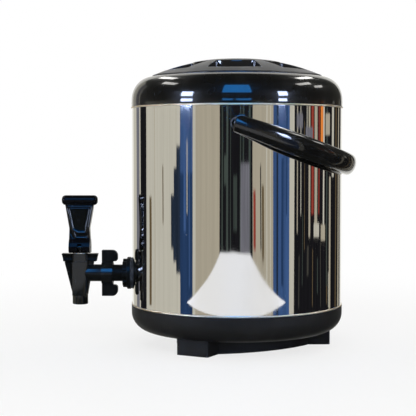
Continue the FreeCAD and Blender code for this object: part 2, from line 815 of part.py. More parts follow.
def make_wall_sleeve():
    """Spacer in the foam between the shell and the pot."""
    sleeve = tube(SLEEVE_R, SLEEVE_BORE_R, on_inlet(-BARREL_R), on_inlet(-POT_R + 5))
    sleeve = sleeve.common(barrel_solid(BARREL_R - SHELL_WALL - 0.1))
    return sleeve.cut(barrel_solid(POT_R + POT_WALL + 0.1))


def make_inner_washer():
    """Silicone washer, rounded to the inside of the pot and flat to the nut."""
    washer = tube(INNER_WASHER_R, SHANK_R + 0.15, on_inlet(-POT_R - 5), on_inlet(INNER_NUT_X - 0.05))
    return washer.common(barrel_solid(POT_R - 0.05))


def make_inner_nut():
    """Hexagon nut in the pot."""
    corners = []
    for index in range(6):
        angle = math.radians(index * 60)
        reach = INNER_NUT_FLAT / 2 / math.cos(math.radians(30))
        corners.append((Vector(INNER_NUT_X, reach * math.sin(angle), INLET_Z + reach * math.cos(angle)), 1.5))
    nut = prism(rounded(corners), ALONG_X * INNER_NUT_LENGTH)
    return nut.cut(rod(SHANK_R + 0.05, on_inlet(INNER_NUT_X - 1), on_inlet(INNER_NUT_X + INNER_NUT_LENGTH + 1)))


def make_tail_seal():
    return tube(TAIL_FLANGE_R - 0.4, SHANK_BORE_R + 0.2, on_inlet(TAIL_FACE_X + 0.05), on_inlet(SHANK_MOUTH_X - 0.05))


def wing_profile(side):
    """One ear of the wing nut, seen from the barrel's side: flat at the tap, rounded and undercut at the wall."""
    root = INLET_Z + side * (WING_NUT_R - 5)
    tip = INLET_Z + side * WING_REACH
    neck = INLET_Z + side * WING_UNDERCUT
    left = WING_NUT_X + 0.1
    y = -WING_WALL / 2
    return rounded([
        (Vector(left, y, root), 0),
        (Vector(left, y, tip), 1.0),
        (Vector(WING_TIP_X, y, tip), 7.0),
        (Vector(WING_TIP_X, y, neck), 3.5),
        (Vector(WING_NUT_END_X, y, neck), 1.2),
        (Vector(WING_NUT_END_X, y, root), 0),
    ])


def make_wing_nut():
    """Captive nut with two ears. Its back plate runs on the tail, behind the tail's flange."""
    nut = rod(WING_NUT_R, on_inlet(WING_NUT_X), on_inlet(WING_NUT_END_X))
    for side in (-1, 1):
        ear = prism(wing_profile(side), ALONG_Y * WING_WALL)
        nut = nut.fuse(ear)
    nut = nut.cut(rod(TAIL_R + NUT_PLAY, on_inlet(WING_NUT_X - 1), on_inlet(WING_NUT_END_X)))
    bore_start = on_inlet(WING_NUT_X + WING_NUT_PLATE)
    return nut.cut(rod(TAIL_FLANGE_R + NUT_PLAY, bore_start, on_inlet(WING_NUT_END_X + 1)))


# Valve

def make_tap_body():
    """Valve body: a tapered column over the spout, a fin in front, gussets at the tail and the seat inside."""
    ring_top = SPOUT_Z + SPOUT_RING
    body = turned(outline([
        rz(0, SPOUT_Z),
        rz(SPOUT_R - SPOUT_BEVEL, SPOUT_Z),
        rz(SPOUT_R, SPOUT_Z + SPOUT_BEVEL),
        rz(SPOUT_R, ring_top),
        rz(COLUMN_FOOT_R, ring_top),
        rz(COLUMN_TOP_R, COLUMN_TOP_Z),
        rz(NECK_R, COLUMN_TOP_Z),
        rz(NECK_R, NECK_TOP_Z),
        rz(0, NECK_TOP_Z),
    ]))
    body = moved(body, on_tap(0))
    fin_y = -FIN_WALL / 2
    fin = prism(rounded([
        (on_tap(COLUMN_TOP_Z - 0.2, FIN_TOP_X, fin_y), 1.0),
        (on_tap(FIN_FOOT_Z, FIN_FOOT_X, fin_y), 0),
        (on_tap(FIN_FOOT_Z, -4, fin_y), 0),
        (on_tap(COLUMN_TOP_Z - 0.2, -4, fin_y), 0),
    ]), ALONG_Y * FIN_WALL)
    side_edges = [edge for edge in fin.Edges if edge.BoundBox.XMin < TAP_X - 8 and not straight_along(edge, ALONG_Y)]
    slanted = [edge for edge in side_edges if edge.BoundBox.ZLength > 20]
    fin = fin.makeFillet(1.2, slanted)
    upper_gusset = prism(rounded([
        (on_tap(COLUMN_TOP_Z - 0.2, 4, fin_y), 0),
        (on_tap(COLUMN_TOP_Z - 0.2, GUSSET_TOP_X, fin_y), 1.5),
        (on_tap(INLET_Z + 8, GUSSET_TOP_X - 2, fin_y), 0),
        (on_tap(INLET_Z + 8, 4, fin_y), 0),
    ]), ALONG_Y * FIN_WALL)
    lower_gusset = prism(outline([
        on_tap(FIN_FOOT_Z, 4, fin_y),
        on_tap(FIN_FOOT_Z, GUSSET_FOOT_X, fin_y),
        on_tap(INLET_Z - 8, GUSSET_SIDE_X, fin_y),
        on_tap(INLET_Z - 8, 4, fin_y),
    ]), ALONG_Y * FIN_WALL)
    tail = rod(TAIL_R, on_inlet(TAP_X), on_inlet(TAIL_FLANGE_X))
    flange = rod(TAIL_FLANGE_R, on_inlet(TAIL_FLANGE_X), on_inlet(TAIL_FACE_X))
    body = body.multiFuse([fin, upper_gusset, lower_gusset, tail, flange])
    inside = turned(outline([
        rz(0, SPOUT_Z - 1),
        rz(SPOUT_BORE_R, SPOUT_Z - 1),
        rz(SPOUT_BORE_R, ring_top + 2),
        rz(SEAT_BORE_R, ring_top + 6),
        rz(SEAT_BORE_R, SEAT_Z),
        rz(CHAMBER_R, SEAT_Z),
        rz(CHAMBER_R, NECK_TOP_Z + 1),
        rz(0, NECK_TOP_Z + 1),
    ]))
    body = body.cut(moved(inside, on_tap(0)))
    return body.cut(rod(WATERWAY_R, on_inlet(TAP_X), on_inlet(TAIL_FACE_X + 1)))


def make_tap_bonnet():
    """Cap screwed over the neck, with two scooped wings to turn it by."""
    centre_z = (BONNET_Z + BONNET_TOP_Z) / 2
    half_y = BONNET_WING_WALL / 2
    wings = prism(rounded([
        (on_tap(BONNET_TOP_Z, -BONNET_WING_TOP, -half_y), 0.8),
        (on_tap(BONNET_Z, -BONNET_WING_FOOT, -half_y), 0.8),
        (on_tap(BONNET_Z, BONNET_WING_FOOT, -half_y), 0.8),
        (on_tap(BONNET_TOP_Z, BONNET_WING_TOP, -half_y), 0.8),
    ]), ALONG_Y * BONNET_WING_WALL)
    for side in (-1, 1):
        middle = side * (half_y + BONNET_SCOOP_R - BONNET_SCOOP_DEPTH)
        scoop = rod(BONNET_SCOOP_R, on_tap(centre_z, -30, middle), on_tap(centre_z, 30, middle))
        wings = wings.cut(scoop)
    cap = turned(outline([
        rz(0, BONNET_Z),
        rz(BONNET_R, BONNET_Z),
        rz(BONNET_R, BONNET_TOP_Z - BONNET_BEVEL),
        rz(BONNET_R - BONNET_BEVEL, BONNET_TOP_Z),
        rz(0, BONNET_TOP_Z),
    ]))
    bonnet = wings.fuse(moved(cap, on_tap(0)))
    bonnet = bonnet.cut(rod(BONNET_BORE_R, on_tap(BONNET_Z - 1), on_tap(BONNET_TOP_Z - BONNET_ROOF)))
    return bonnet.cut(rod(STEM_R + STEM_PLAY, on_tap(BONNET_Z), on_tap(BONNET_TOP_Z + 1)))


def make_slip_washer():
    top = SLIP_WASHER_Z + SLIP_WASHER
    return tube(WASHER_OUTER_R, STEM_R + STEM_PLAY, on_tap(SLIP_WASHER_Z), on_tap(top))


def pin_place():
    """The height of the lever's pin with the valve shut."""
    return SLIP_WASHER_Z + SLIP_WASHER + PIN_HEIGHT


def make_valve_stem():
    """Rod that the lever pulls up, with an eye for the pin and a disc that holds the cup."""
    pin_z = pin_place()
    stem = rod(STEM_R, on_tap(STEM_FOOT_Z), on_tap(pin_z))
    stem = stem.fuse(rod(STEM_DISC_R, on_tap(STEM_DISC_Z), on_tap(STEM_DISC_Z + STEM_DISC)))
    stem = stem.fuse(rod(STEM_EYE_R, on_tap(pin_z, -STEM_R), on_tap(pin_z, STEM_R)))
    return stem.cut(rod(PIN_R + NUT_PLAY, on_tap(pin_z, -10), on_tap(pin_z, 10)))


def make_seat_cup():
    """Silicone cup on the stem's foot: a nose that shuts the seat below, a bell that springs against the bonnet."""
    fit = 0.05
    cup = turned(outline([
        rz(0, SEAT_Z - 2),
        rz(SEAT_BORE_R - 0.4, SEAT_Z - 2),
        rz(SEAT_BORE_R - 0.4, SEAT_Z + 0.12),
        rz(CHAMBER_R - 0.6, SEAT_Z + 0.12),
        rz(CHAMBER_R - 0.6, SEAT_Z + 3.5),
        rz(CHAMBER_R - 0.9, SEAT_Z + 9.5),
        rz(4.4, SEAT_Z + 14),
        rz(4.4, SEAT_Z + 23),
        rz(5.0, SEAT_Z + 28),
        rz(CHAMBER_R - 0.5, SEAT_Z + 33.3),
        rz(CHAMBER_R - 1.5, SEAT_Z + 33.3),
        rz(3.9, SEAT_Z + 28),
        rz(STEM_R + fit, SEAT_Z + 24),
        rz(STEM_R + fit, STEM_DISC_Z + STEM_DISC + fit),
        rz(STEM_DISC_R + fit, STEM_DISC_Z + STEM_DISC + fit),
        rz(STEM_DISC_R + fit, STEM_DISC_Z - fit),
        rz(STEM_R + fit, STEM_DISC_Z - fit),
        rz(STEM_R + fit, STEM_FOOT_Z - fit),
        rz(0, STEM_FOOT_Z - fit),
    ]))
    return moved(cup, on_tap(0))


def cam_point(turn, at_x):
    """
    A point of the cam under the lever, in the plane at at_x. The edge is an involute of a circle as wide as the
    lift per radian, so the stem rises evenly with the lever's tilt while the cam stays on the washer.
    """
    support = PIN_HEIGHT - FOOT_GAP + LIFT_PER_RADIAN * turn
    forward = support * math.sin(turn) + LIFT_PER_RADIAN * math.cos(turn)
    below = support * math.cos(turn) - LIFT_PER_RADIAN * math.sin(turn)
    return on_tap(pin_place() - below, at_x, -forward)


def lever_side(at_x):
    """The lever's outline from the side: a flat heel, the cam, and a slim paddle above."""
    last = math.radians(LEVER_TILT_DEG)
    points = [cam_point(last * index / CAM_POINTS, at_x) for index in range(CAM_POINTS + 1)]
    cam = Part.BSplineCurve()
    cam.interpolate(points)
    heel_z = points[0].z
    toe = points[-1]
    step = on_tap(LEVER_STEP_Z - 1, at_x, PADDLE_FRONT_Y)
    shoulder = on_tap(toe.z + 5, at_x, toe.y)
    bend = on_tap((step.z + shoulder.z) / 2, at_x, mix(step.y, shoulder.y, 0.62))
    neck_front = on_tap(PADDLE_NECK_Z + 2, at_x, PADDLE_FRONT_Y)
    neck_back = on_tap(PADDLE_NECK_Z + 2, at_x, PADDLE_BACK_Y)
    back_step = on_tap(LEVER_STEP_Z, at_x, PADDLE_BACK_Y)
    back_bend = on_tap(LEVER_STEP_Z - 4, at_x, PADDLE_BACK_Y + 1.4)
    back_shoulder = on_tap(LEVER_STEP_Z - 9, at_x, LEVER_HEEL_Y)
    heel = on_tap(heel_z + 1.5, at_x, LEVER_HEEL_Y)
    heel_foot = on_tap(heel_z, at_x, LEVER_HEEL_Y - 1.5)
    return Part.Wire([
        cam.toShape(),
        line(toe, shoulder),
        arc(shoulder, bend, step),
        line(step, neck_front),
        line(neck_front, neck_back),
        line(neck_back, back_step),
        arc(back_step, back_bend, back_shoulder),
        line(back_shoulder, heel),
        line(heel, heel_foot),
        line(heel_foot, points[0]),
    ])


def lever_front(inset, bottom, top, at_y):
    """The lever's outline from the front, drawn in by inset: straight at the foot, flaring to the top."""
    waist = on_tap(PADDLE_WAIST_Z, 0, at_y)
    slope = (PADDLE_TOP_HALF - PADDLE_WAIST_HALF) / (PADDLE_NECK_Z - PADDLE_WAIST_Z)
    top_half = PADDLE_WAIST_HALF + slope * (top - PADDLE_WAIST_Z) - inset
    half = PADDLE_WAIST_HALF - inset
    foot_half = LEVER_FOOT_HALF - inset
    foot_top = max(bottom + 1, LEVER_STEP_Z - 4)
    return rounded([
        (on_tap(bottom, foot_half, at_y), 0),
        (on_tap(foot_top, foot_half, at_y), 0),
        (waist + ALONG_X * half, 12.0),
        (on_tap(top, top_half, at_y), 0),
        (on_tap(top, -top_half, at_y), 0),
        (waist - ALONG_X * half, 12.0),
        (on_tap(foot_top, -foot_half, at_y), 0),
        (on_tap(bottom, -foot_half, at_y), 0),
    ])


def lever_panel(inset, bottom, at_y):
    """The panel on the paddle's face, with its lower corner cut off on the side away from the barrel."""
    top = PADDLE_NECK_Z - 1 - inset
    slope = (PADDLE_TOP_HALF - PADDLE_WAIST_HALF) / (PADDLE_NECK_Z - PADDLE_WAIST_Z)
    top_half = PADDLE_WAIST_HALF + slope * (top - PADDLE_WAIST_Z) - 1.2 - inset
    half = PADDLE_WAIST_HALF - 1.2 - inset
    return rounded([
        (on_tap(top, -top_half, at_y), 1.0),
        (on_tap(PADDLE_WAIST_Z - 1, -half, at_y), 2.0),
        (on_tap(bottom, -half + 7.0, at_y), 1.0),
        (on_tap(bottom, half, at_y), 1.0),
        (on_tap(PADDLE_WAIST_Z - 1, half, at_y), 2.0),
        (on_tap(top, top_half, at_y), 1.0),
    ])


def make_tap_lever():
    """Lever: a rolled grip along the top, a paddle with a framed panel, and a forked cam foot round the stem's eye."""
    pin_z = pin_place()
    side = prism(lever_side(-30), ALONG_X * 60)
    front = prism(lever_front(0, pin_z - PIN_HEIGHT, PADDLE_NECK_Z + 4, -20), ALONG_Y * 40)
    lever = side.common(front)
    roll_z = LEVER_TOP_Z - ROLL_R
    roll_start = on_tap(roll_z, -ROLL_HALF, ROLL_Y)
    roll_end = on_tap(roll_z, ROLL_HALF, ROLL_Y)
    roll = turned(rounded([
        (roll_start, 0),
        (roll_start + UP * ROLL_R, ROLL_END_R),
        (roll_end + UP * ROLL_R, ROLL_END_R),
        (roll_end, 0),
    ]), roll_start, ALONG_X)
    frame_y = PADDLE_FRONT_Y - PANEL_PROUD
    frame = prism(lever_panel(0, LEVER_STEP_Z, frame_y), ALONG_Y * (PANEL_PROUD + 1))
    recess = prism(lever_panel(2.2, LEVER_STEP_Z + 6.3, frame_y - 1), ALONG_Y * (PANEL_DEPTH + 1))
    lever = lever.multiFuse([roll, frame]).cut(recess)
    slot_half = STEM_R + SLOT_WALL_GAP
    slot = prism(rounded([
        (on_tap(pin_z - 20, -slot_half, -20), 0),
        (on_tap(pin_z - 20, -slot_half, slot_half + 0.6), 0),
        (on_tap(pin_z, -slot_half, slot_half + 0.6), 0),
        (on_tap(pin_z + SLOT_TOP_RISE, -slot_half, slot_half - 1.5), 0),
        (on_tap(pin_z + SLOT_TOP_RISE, -slot_half, -20), 0),
    ]), ALONG_X * (2 * slot_half))
    slot = slot.fuse(rod(SLOT_TOP_RISE, on_tap(pin_z, -slot_half), on_tap(pin_z, slot_half)))
    lever = lever.cut(slot)
    pin_end = PIN_HALF_LENGTH + 0.1
    return lever.cut(rod(PIN_R + 0.02, on_tap(pin_z, -pin_end), on_tap(pin_z, pin_end + 10)))


def make_lever_pin():
    pin_z = pin_place()
    return rod(PIN_R, on_tap(pin_z, -PIN_HALF_LENGTH), on_tap(pin_z, PIN_HALF_LENGTH))


PIECES = {
    "outer_shell": make_outer_shell,
    "inner_pot": make_inner_pot,
    "insulation_foam": make_insulation_foam,
    "shoulder_ring": make_shoulder_ring,
    "rim_gasket": make_rim_gasket,
    "base_bowl": make_base_bowl,
    "foot_pads": make_foot_pads,
    "foam_fill_plug": make_foam_fill_plug,
    "lid_cover": make_lid_cover,
    "lid_liner": make_lid_liner,
    "lid_foam": make_lid_foam,
    "lid_seal": make_lid_seal,
    "bail_handle": make_bail_handle,
    "left_pivot_boss": lambda: make_pivot_boss(1),
    "right_pivot_boss": lambda: make_pivot_boss(-1),
    "pivot_pins": make_pivot_pins,
    "pivot_plates": make_pivot_plates,
    "tap_shank": make_tap_shank,
    "outer_nut": make_outer_nut,
    "outer_washer": make_outer_washer,
    "wall_sleeve": make_wall_sleeve,
    "inner_washer": make_inner_washer,
    "inner_nut": make_inner_nut,
    "tail_seal": make_tail_seal,
    "wing_nut": make_wing_nut,
    "tap_body": make_tap_body,
    "tap_bonnet": make_tap_bonnet,
    "slip_washer": make_slip_washer,
    "valve_stem": make_valve_stem,
    "seat_cup": make_seat_cup,
    "tap_lever": make_tap_lever,
    "lever_pin": make_lever_pin,
}

os.makedirs("parts", exist_ok=True)
for name, make in PIECES.items():
    make().exportStep(os.path.join("parts", name + ".step"))
    print("wrote", name)
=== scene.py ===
import math

import bmesh
import bpy
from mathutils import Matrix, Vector
from mathutils.geometry import delaunay_2d_cdt


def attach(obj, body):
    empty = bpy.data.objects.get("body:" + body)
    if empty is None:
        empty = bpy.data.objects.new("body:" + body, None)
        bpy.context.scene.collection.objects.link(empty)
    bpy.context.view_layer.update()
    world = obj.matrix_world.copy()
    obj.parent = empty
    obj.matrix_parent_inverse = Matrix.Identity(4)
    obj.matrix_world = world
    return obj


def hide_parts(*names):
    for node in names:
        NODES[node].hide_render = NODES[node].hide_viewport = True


bl_info = {
    "name": "Insulated tea dispenser",
    "version": (1, 0, 0),
    "blender": (4, 5, 0),
    "location": "View3D > Sidebar > Tea dispenser",
    "description": "Dresses the dispenser's solids: mirror barrel, moulded lid, bail, base and lever tap",
    "category": "Object",
}

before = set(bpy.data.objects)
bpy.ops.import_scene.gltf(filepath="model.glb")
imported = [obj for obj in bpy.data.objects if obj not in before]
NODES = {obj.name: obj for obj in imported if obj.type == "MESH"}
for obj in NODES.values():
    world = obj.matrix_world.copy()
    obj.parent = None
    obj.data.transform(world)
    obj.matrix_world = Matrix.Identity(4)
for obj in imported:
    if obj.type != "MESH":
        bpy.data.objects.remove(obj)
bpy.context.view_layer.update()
FULL_TURN = 2 * math.pi
QUARTER_TURN = math.pi / 2
SAME_POINT = 2e-6
TAP_X = -196.2
TAIL_HEIGHT = 86.8


# Sizes and colours

def length(name, description, millimetres):
    return bpy.props.FloatProperty(
        name=name, description=description, default=millimetres / 1000, min=0.0, unit="LENGTH", precision=4)


def share(name, description, default):
    return bpy.props.FloatProperty(
        name=name, description=description, default=default, min=0.0, max=1.0, subtype="FACTOR")


def colour(name, description, default):
    return bpy.props.FloatVectorProperty(
        name=name, description=description, default=default, size=3, min=0.0, max=1.0, subtype="COLOR")


def section(kind, name, description):
    return bpy.props.PointerProperty(type=kind, name=name, description=description)


def in_mm(sizes):
    """The lengths of a group of sizes, in the order in which it states them."""
    return [getattr(sizes, key) * 1000 for key in type(sizes).__annotations__]


class BarrelSizes(bpy.types.PropertyGroup):
    radius: length("Radius", "Outside of the rolled steel", 130)
    wall: length("Wall", "Thickness of the sheet", 0.8)
    bead: length("Bead", "Radius of the bead rolled round each end", 1)
    bottom: length("Bottom", "Height of the joint with the base", 49.1)
    top: length("Top", "Height of the joint with the shoulder", 293.9)


class ShoulderSizes(bpy.types.PropertyGroup):
    radius: length("Radius", "Outside of the moulding", 130.5)
    spring: length("Spring", "Height at which the wall starts to curve in", 302)
    crest: length("Crest", "Height of the top of the curve", 330)
    mouth: length("Mouth", "Radius of the seat that the lid drops into", 106)
    mouth_edge: length("Mouth edge", "Radius of the edge round the mouth", 0.8)


class LidSizes(bpy.types.PropertyGroup):
    radius: length("Radius", "Outside of the cover", 105.5)
    edge: length("Edge", "Height of the top of the upright edge", 330.2)
    bevel: length("Bevel", "Size of the rounded edge", 2.8)
    top: length("Top", "Height of the crown", 352.2)
    pocket_edge: length("Pocket edge", "Radius of the edge round each finger pocket", 1)
    pocket_foot: length("Pocket foot", "Radius at the foot of each pocket's wall", 1.8)
    pocket_floor: length("Pocket floor", "Height of the floor of each pocket", 330)


class BailSizes(bpy.types.PropertyGroup):
    radius: length("Radius", "From the pivot's line to the middle of the hoop", 147.2)
    thickness: length("Thickness", "Across the hoop, away from the barrel", 16)
    width: length("Width", "Along the barrel, in the middle of the hoop", 25.5)
    end_width: length("End width", "Along the barrel, at the pivots", 20.5)
    pivot_height: length("Pivot height", "Height of the pivots", 270.9)


class Finishes(bpy.types.PropertyGroup):
    steel: colour("Steel", "Colour of the polished steel", (0.8, 0.79, 0.775))
    gloss_black: colour("Gloss black", "Shoulder and bail", (0.006, 0.006, 0.006))
    satin_black: colour("Satin black", "Lid and bosses", (0.026, 0.026, 0.027))
    matte_black: colour("Matt black", "Base", (0.014, 0.0135, 0.0125))
    tap_black: colour("Tap black", "Valve, nuts and shank", (0.006, 0.007, 0.007))
    lever_black: colour("Lever black", "Lever", (0.004, 0.004, 0.005))
    silicone: colour("Silicone", "Washers and seals", (0.7, 0.69, 0.66))
    foam: colour("Foam", "Insulation", (0.74, 0.64, 0.4))
    steel_gloss: share("Steel roughness", "Roughness of the polished steel", 0.02)
    shoulder_gloss: share("Shoulder roughness", "Roughness of the gloss black", 0.045)
    lid_gloss: share("Lid roughness", "Roughness of the lid", 0.36)


class StageSettings(bpy.types.PropertyGroup):
    lens: bpy.props.FloatProperty(name="Lens", description="Focal length", default=99.3, unit="CAMERA")
    distance: length("Distance", "From the barrel's axis to the camera", 1431)
    height: length("Height", "Height of the camera", 239.8)
    room_radius: length("Card radius", "From the barrel's axis to the ring of cards", 5000)
    lamp: bpy.props.FloatProperty(
        name="Lamp", description="Power of each ceiling lamp", default=20.0, min=0.0)


class DispenserSettings(bpy.types.PropertyGroup):
    barrel: section(BarrelSizes, "Barrel", "Steel barrel")
    shoulder: section(ShoulderSizes, "Shoulder", "Shoulder ring")
    lid: section(LidSizes, "Lid", "Lid")
    bail: section(BailSizes, "Bail", "Carrying bail")
    finishes: section(Finishes, "Finishes", "Colours and gloss")
    stage: section(StageSettings, "Stage", "Camera, cards and lamps")


# Shader maths

class Signal:
    """A value in a shader. Arithmetic on it adds Math nodes."""

    def __init__(self, finish, socket):
        self.finish = finish
        self.socket = socket

    def math(self, operation, *values):
        return self.finish.node("Math", {"operation": operation}, dict(enumerate(values)))

    def __add__(self, other):
        return self.math("ADD", self, other)

    def __sub__(self, other):
        return self.math("SUBTRACT", self, other)

    def __rsub__(self, other):
        return self.math("SUBTRACT", other, self)

    def __mul__(self, other):
        return self.math("MULTIPLY", self, other)

    __radd__ = __add__
    __rmul__ = __mul__

    def rises(self, start, end):
        """0 below start and 1 above end, with a soft step between."""
        inputs = {0: self, 1: start, 2: end, 3: 0.0, 4: 1.0}
        return self.finish.node("MapRange", {"interpolation_type": "SMOOTHSTEP"}, inputs)


class Finish:
    """A material and its nodes."""

    def __init__(self, name, tree=None):
        if tree is None:
            self.material = bpy.data.materials.new(name)
            self.material.use_nodes = True
            tree = self.material.node_tree
        self.tree = tree
        self.tree.nodes.clear()

    def node(self, kind, settings=None, inputs=None, output=0):
        """Adds a node with its settings, fills its sockets with values or links, and gives an output."""
        made = self.tree.nodes.new("ShaderNode" + kind)
        for key, value in (settings or {}).items():
            setattr(made, key, value)
        for key, value in (inputs or {}).items():
            if isinstance(value, Signal):
                self.tree.links.new(value.socket, made.inputs[key])
            else:
                made.inputs[key].default_value = value
        return Signal(self, made.outputs[output]) if made.outputs else made

    def place(self, stretch=(1.0, 1.0, 1.0)):
        """The point on the piece, in metres, stretched along each axis."""
        point = self.node("TexCoord", output="Object")
        return self.node("VectorMath", {"operation": "MULTIPLY"}, {0: point, 1: stretch})

    def noise(self, scale, detail=2.0, stretch=(1.0, 1.0, 1.0), roughness=0.5):
        inputs = {"Vector": self.place(stretch), "Scale": scale, "Detail": detail, "Roughness": roughness}
        return self.node("TexNoise", None, inputs)

    def cells(self, scale, output="Distance"):
        return self.node("TexVoronoi", None, {"Vector": self.place(), "Scale": scale}, output)

    def mark(self, name, output="Fac"):
        """A value that the mesh holds."""
        return self.node("Attribute", {"attribute_name": name}, output=output)

    def ray(self, kind):
        """1 for rays of a kind, 0 for others."""
        return self.node("LightPath", output=f"Is {kind} Ray")

    def blend(self, factor, first, second):
        """A colour between two colours."""
        return self.node("Mix", {"data_type": "RGBA"}, {0: factor, 6: first, 7: second}, 2)

    def bump(self, height, distance, normal=None):
        """A normal from a height of 0 to 1, which stands for the distance in metres."""
        inputs = {"Strength": 1.0, "Distance": distance, "Height": height}
        if normal is not None:
            inputs["Normal"] = normal
        return self.node("Bump", None, inputs)

    def surface(self, **inputs):
        """The material's shader. Names are the shader's sockets, with _ for a space."""
        sockets = {key.replace("_", " "): value for key, value in inputs.items()}
        return self.shown(self.node("BsdfPrincipled", None, sockets))

    def glow(self, tint):
        """The material of a card that shows its own colour in any light."""
        return self.shown(self.node("Emission", None, {"Color": tint, "Strength": 1.0}))

    def shown(self, shader):
        self.node("OutputMaterial", None, {"Surface": shader})
        return self.material


def rgba(tint, gain=1.0):
    return tuple(min(channel * gain, 1.0) for channel in tint) + (1.0,)


def scratches(finish, scale, keep, stretch):
    """Sparse fine scratches: 1 on a scratch, 0 beside it."""
    lines = finish.noise(scale, 1, stretch)
    patches = finish.noise(scale * 0.02, 2)
    centred = lines - 0.5
    edge = 1 - centred.math("ABSOLUTE", centred) * 2
    return edge.rises(keep, 1.0) * patches.rises(0.5, 0.66)


def polished_steel(tints):
    """Mirror sheet: faint rolled waves, polishing lines round the barrel, wipe marks, small dents, and duller
    beads whose warm tint is painted reflection.
    """
    finish = Finish("polished_steel")
    waves = finish.noise(9, 1, (1, 1, 0.35))
    lines = finish.noise(60, 3, (1, 1, 60))
    wipes = finish.noise(22, 4, (1, 1, 0.4), 0.6).rises(0.5, 0.78)
    drops = 1 - finish.cells(70).rises(0.05, 0.13)
    cell = finish.cells(70, "Color")
    dents = drops * cell.math("GREATER_THAN", cell, 0.9)
    rolled = finish.mark("rolled")
    rough = tints.steel_gloss + wipes * 0.03 + lines * 0.015 + rolled * 0.5
    normal = finish.bump(waves, 0.0011)
    normal = finish.bump(finish.noise(26, 2, (1, 1, 0.22)), 0.00003, normal)
    normal = finish.bump(lines, 0.0000012, normal)
    normal = finish.bump(dents, 0.00003, normal)
    tint = finish.blend(wipes * 0.5 + dents * 0.3, rgba(tints.steel), rgba(tints.steel, 0.94))
    # Painted reflection: the warm tint on the beads turns the blue they reflect into a pale beige line. Their
    # extra roughness is the duller rolled hem.
    tint = finish.blend(rolled, tint, rgba((0.9, 0.76, 0.56)))
    return finish.surface(Base_Color=tint, Metallic=1.0, Roughness=rough, Normal=normal)


def spun_steel(tints):
    """Drawn pot: fine lines round the axis and a soft sheen."""
    finish = Finish("spun_steel")
    lines = finish.noise(90, 3, (0.6, 0.6, 40))
    stains = finish.noise(14, 4).rises(0.45, 0.75)
    tint = finish.blend(stains, rgba(tints.steel, 0.9), rgba(tints.steel, 0.78))
    normal = finish.bump(lines, 0.00001)
    rough = 0.2 + lines * 0.14 + stains * 0.06
    return finish.surface(Base_Color=tint, Metallic=1.0, Roughness=rough, Normal=normal)


def turned_steel(tints):
    """Pins: bright turned metal."""
    finish = Finish("turned_steel")
    lines = finish.noise(1500, 2, (1, 0.05, 1))
    tint = finish.blend(lines, rgba(tints.steel, 0.82), rgba(tints.steel, 0.95))
    normal = finish.bump(lines, 0.000006)
    return finish.surface(Base_Color=tint, Metallic=1.0, Roughness=0.22 + lines * 0.15, Normal=normal)


def gloss_plastic(name, tint, rough, haze=0.26, coat=1.0, grain=0.000004, depth=0.11):
    """Polished moulding: a clear skin on a hazy body, faint flow waves, wipe marks and hairlines."""
    finish = Finish(name)
    flow = finish.noise(28, 2)
    wipes = finish.noise(34, 4, (1, 1, 0.5), 0.6).rises(0.48, 0.76)
    dust = 1 - finish.cells(420).rises(0.03, 0.1)
    hair = scratches(finish, 240.0, 0.985, (1.0, 1.0, 0.2))
    roughness = haze + wipes * 0.08 + hair * 0.1 + flow * 0.03
    normal = finish.bump(flow, 0.00012)
    normal = finish.bump(finish.noise(900, 2), grain, normal)
    worn = rgba([channel + 0.012 for channel in tint])
    tone = finish.blend(wipes * 0.45 + dust * 0.4 + hair * 0.5, rgba(tint), worn)
    skin = (coat - wipes * 0.12 * coat) * (1 - finish.mark("grained"))
    return finish.surface(
        Base_Color=tone, Roughness=roughness, IOR=1.42, Specular_IOR_Level=depth, Normal=normal,
        Coat_Weight=skin, Coat_Roughness=rough, Coat_IOR=1.45)


def grained_plastic(name, tint, rough, grain_scale, grain_depth, gloss=None, shine=0.5):
    """Moulding with a spark-eroded grain, rubbed smoother in patches."""
    finish = Finish(name)
    grain = finish.noise(grain_scale, 2)
    rubbed = finish.noise(30, 4).rises(0.46, 0.74)
    hair = scratches(finish, 260.0, 0.98, (1.0, 1.0, 0.3))
    dull = finish.mark("grained")
    roughness = rough + grain * 0.1 - rubbed * 0.07 + hair * 0.08 + dull * 0.4
    if gloss is not None:
        polished = finish.mark(gloss)
        roughness = roughness * (1 - polished) + 0.06 * polished
        grain = grain * (1 - polished)
    worn = rgba([channel * 1.25 + 0.006 for channel in tint])
    tone = finish.blend(rubbed * 0.4 + grain * 0.35 + hair * 0.5, rgba(tint), worn)
    normal = finish.bump(grain, grain_depth)
    normal = finish.bump(finish.noise(24, 2), 0.00016, normal)
    return finish.surface(
        Base_Color=tone, Roughness=roughness, IOR=1.49, Specular_IOR_Level=shine, Normal=normal)


def silicone_rubber(tints):
    finish = Finish("silicone_rubber")
    clouds = finish.noise(160, 3)
    tone = finish.blend(clouds, rgba(tints.silicone), rgba(tints.silicone, 0.86))
    normal = finish.bump(finish.noise(1400, 2), 0.00001)
    return finish.surface(
        Base_Color=tone, Roughness=0.42 + clouds * 0.12, Subsurface_Weight=0.12, Subsurface_Scale=0.004,
        Normal=normal)


def pad_rubber():
    finish = Finish("pad_rubber")
    grain = finish.noise(1100, 3)
    scuffs = finish.noise(120, 4).rises(0.5, 0.7)
    tone = finish.blend(scuffs, rgba((0.022, 0.022, 0.022)), rgba((0.05, 0.049, 0.047)))
    normal = finish.bump(grain, 0.00005)
    return finish.surface(Base_Color=tone, Roughness=0.78 + grain * 0.15, Normal=normal)


def poured_foam(tints):
    finish = Finish("poured_foam")
    cells = finish.cells(900)
    clouds = finish.noise(40, 3)
    tone = finish.blend(clouds * 0.6 + cells * 0.4, rgba(tints.foam), rgba(tints.foam, 0.72))
    return finish.surface(Base_Color=tone, Roughness=0.9, Normal=finish.bump(cells, 0.0003))


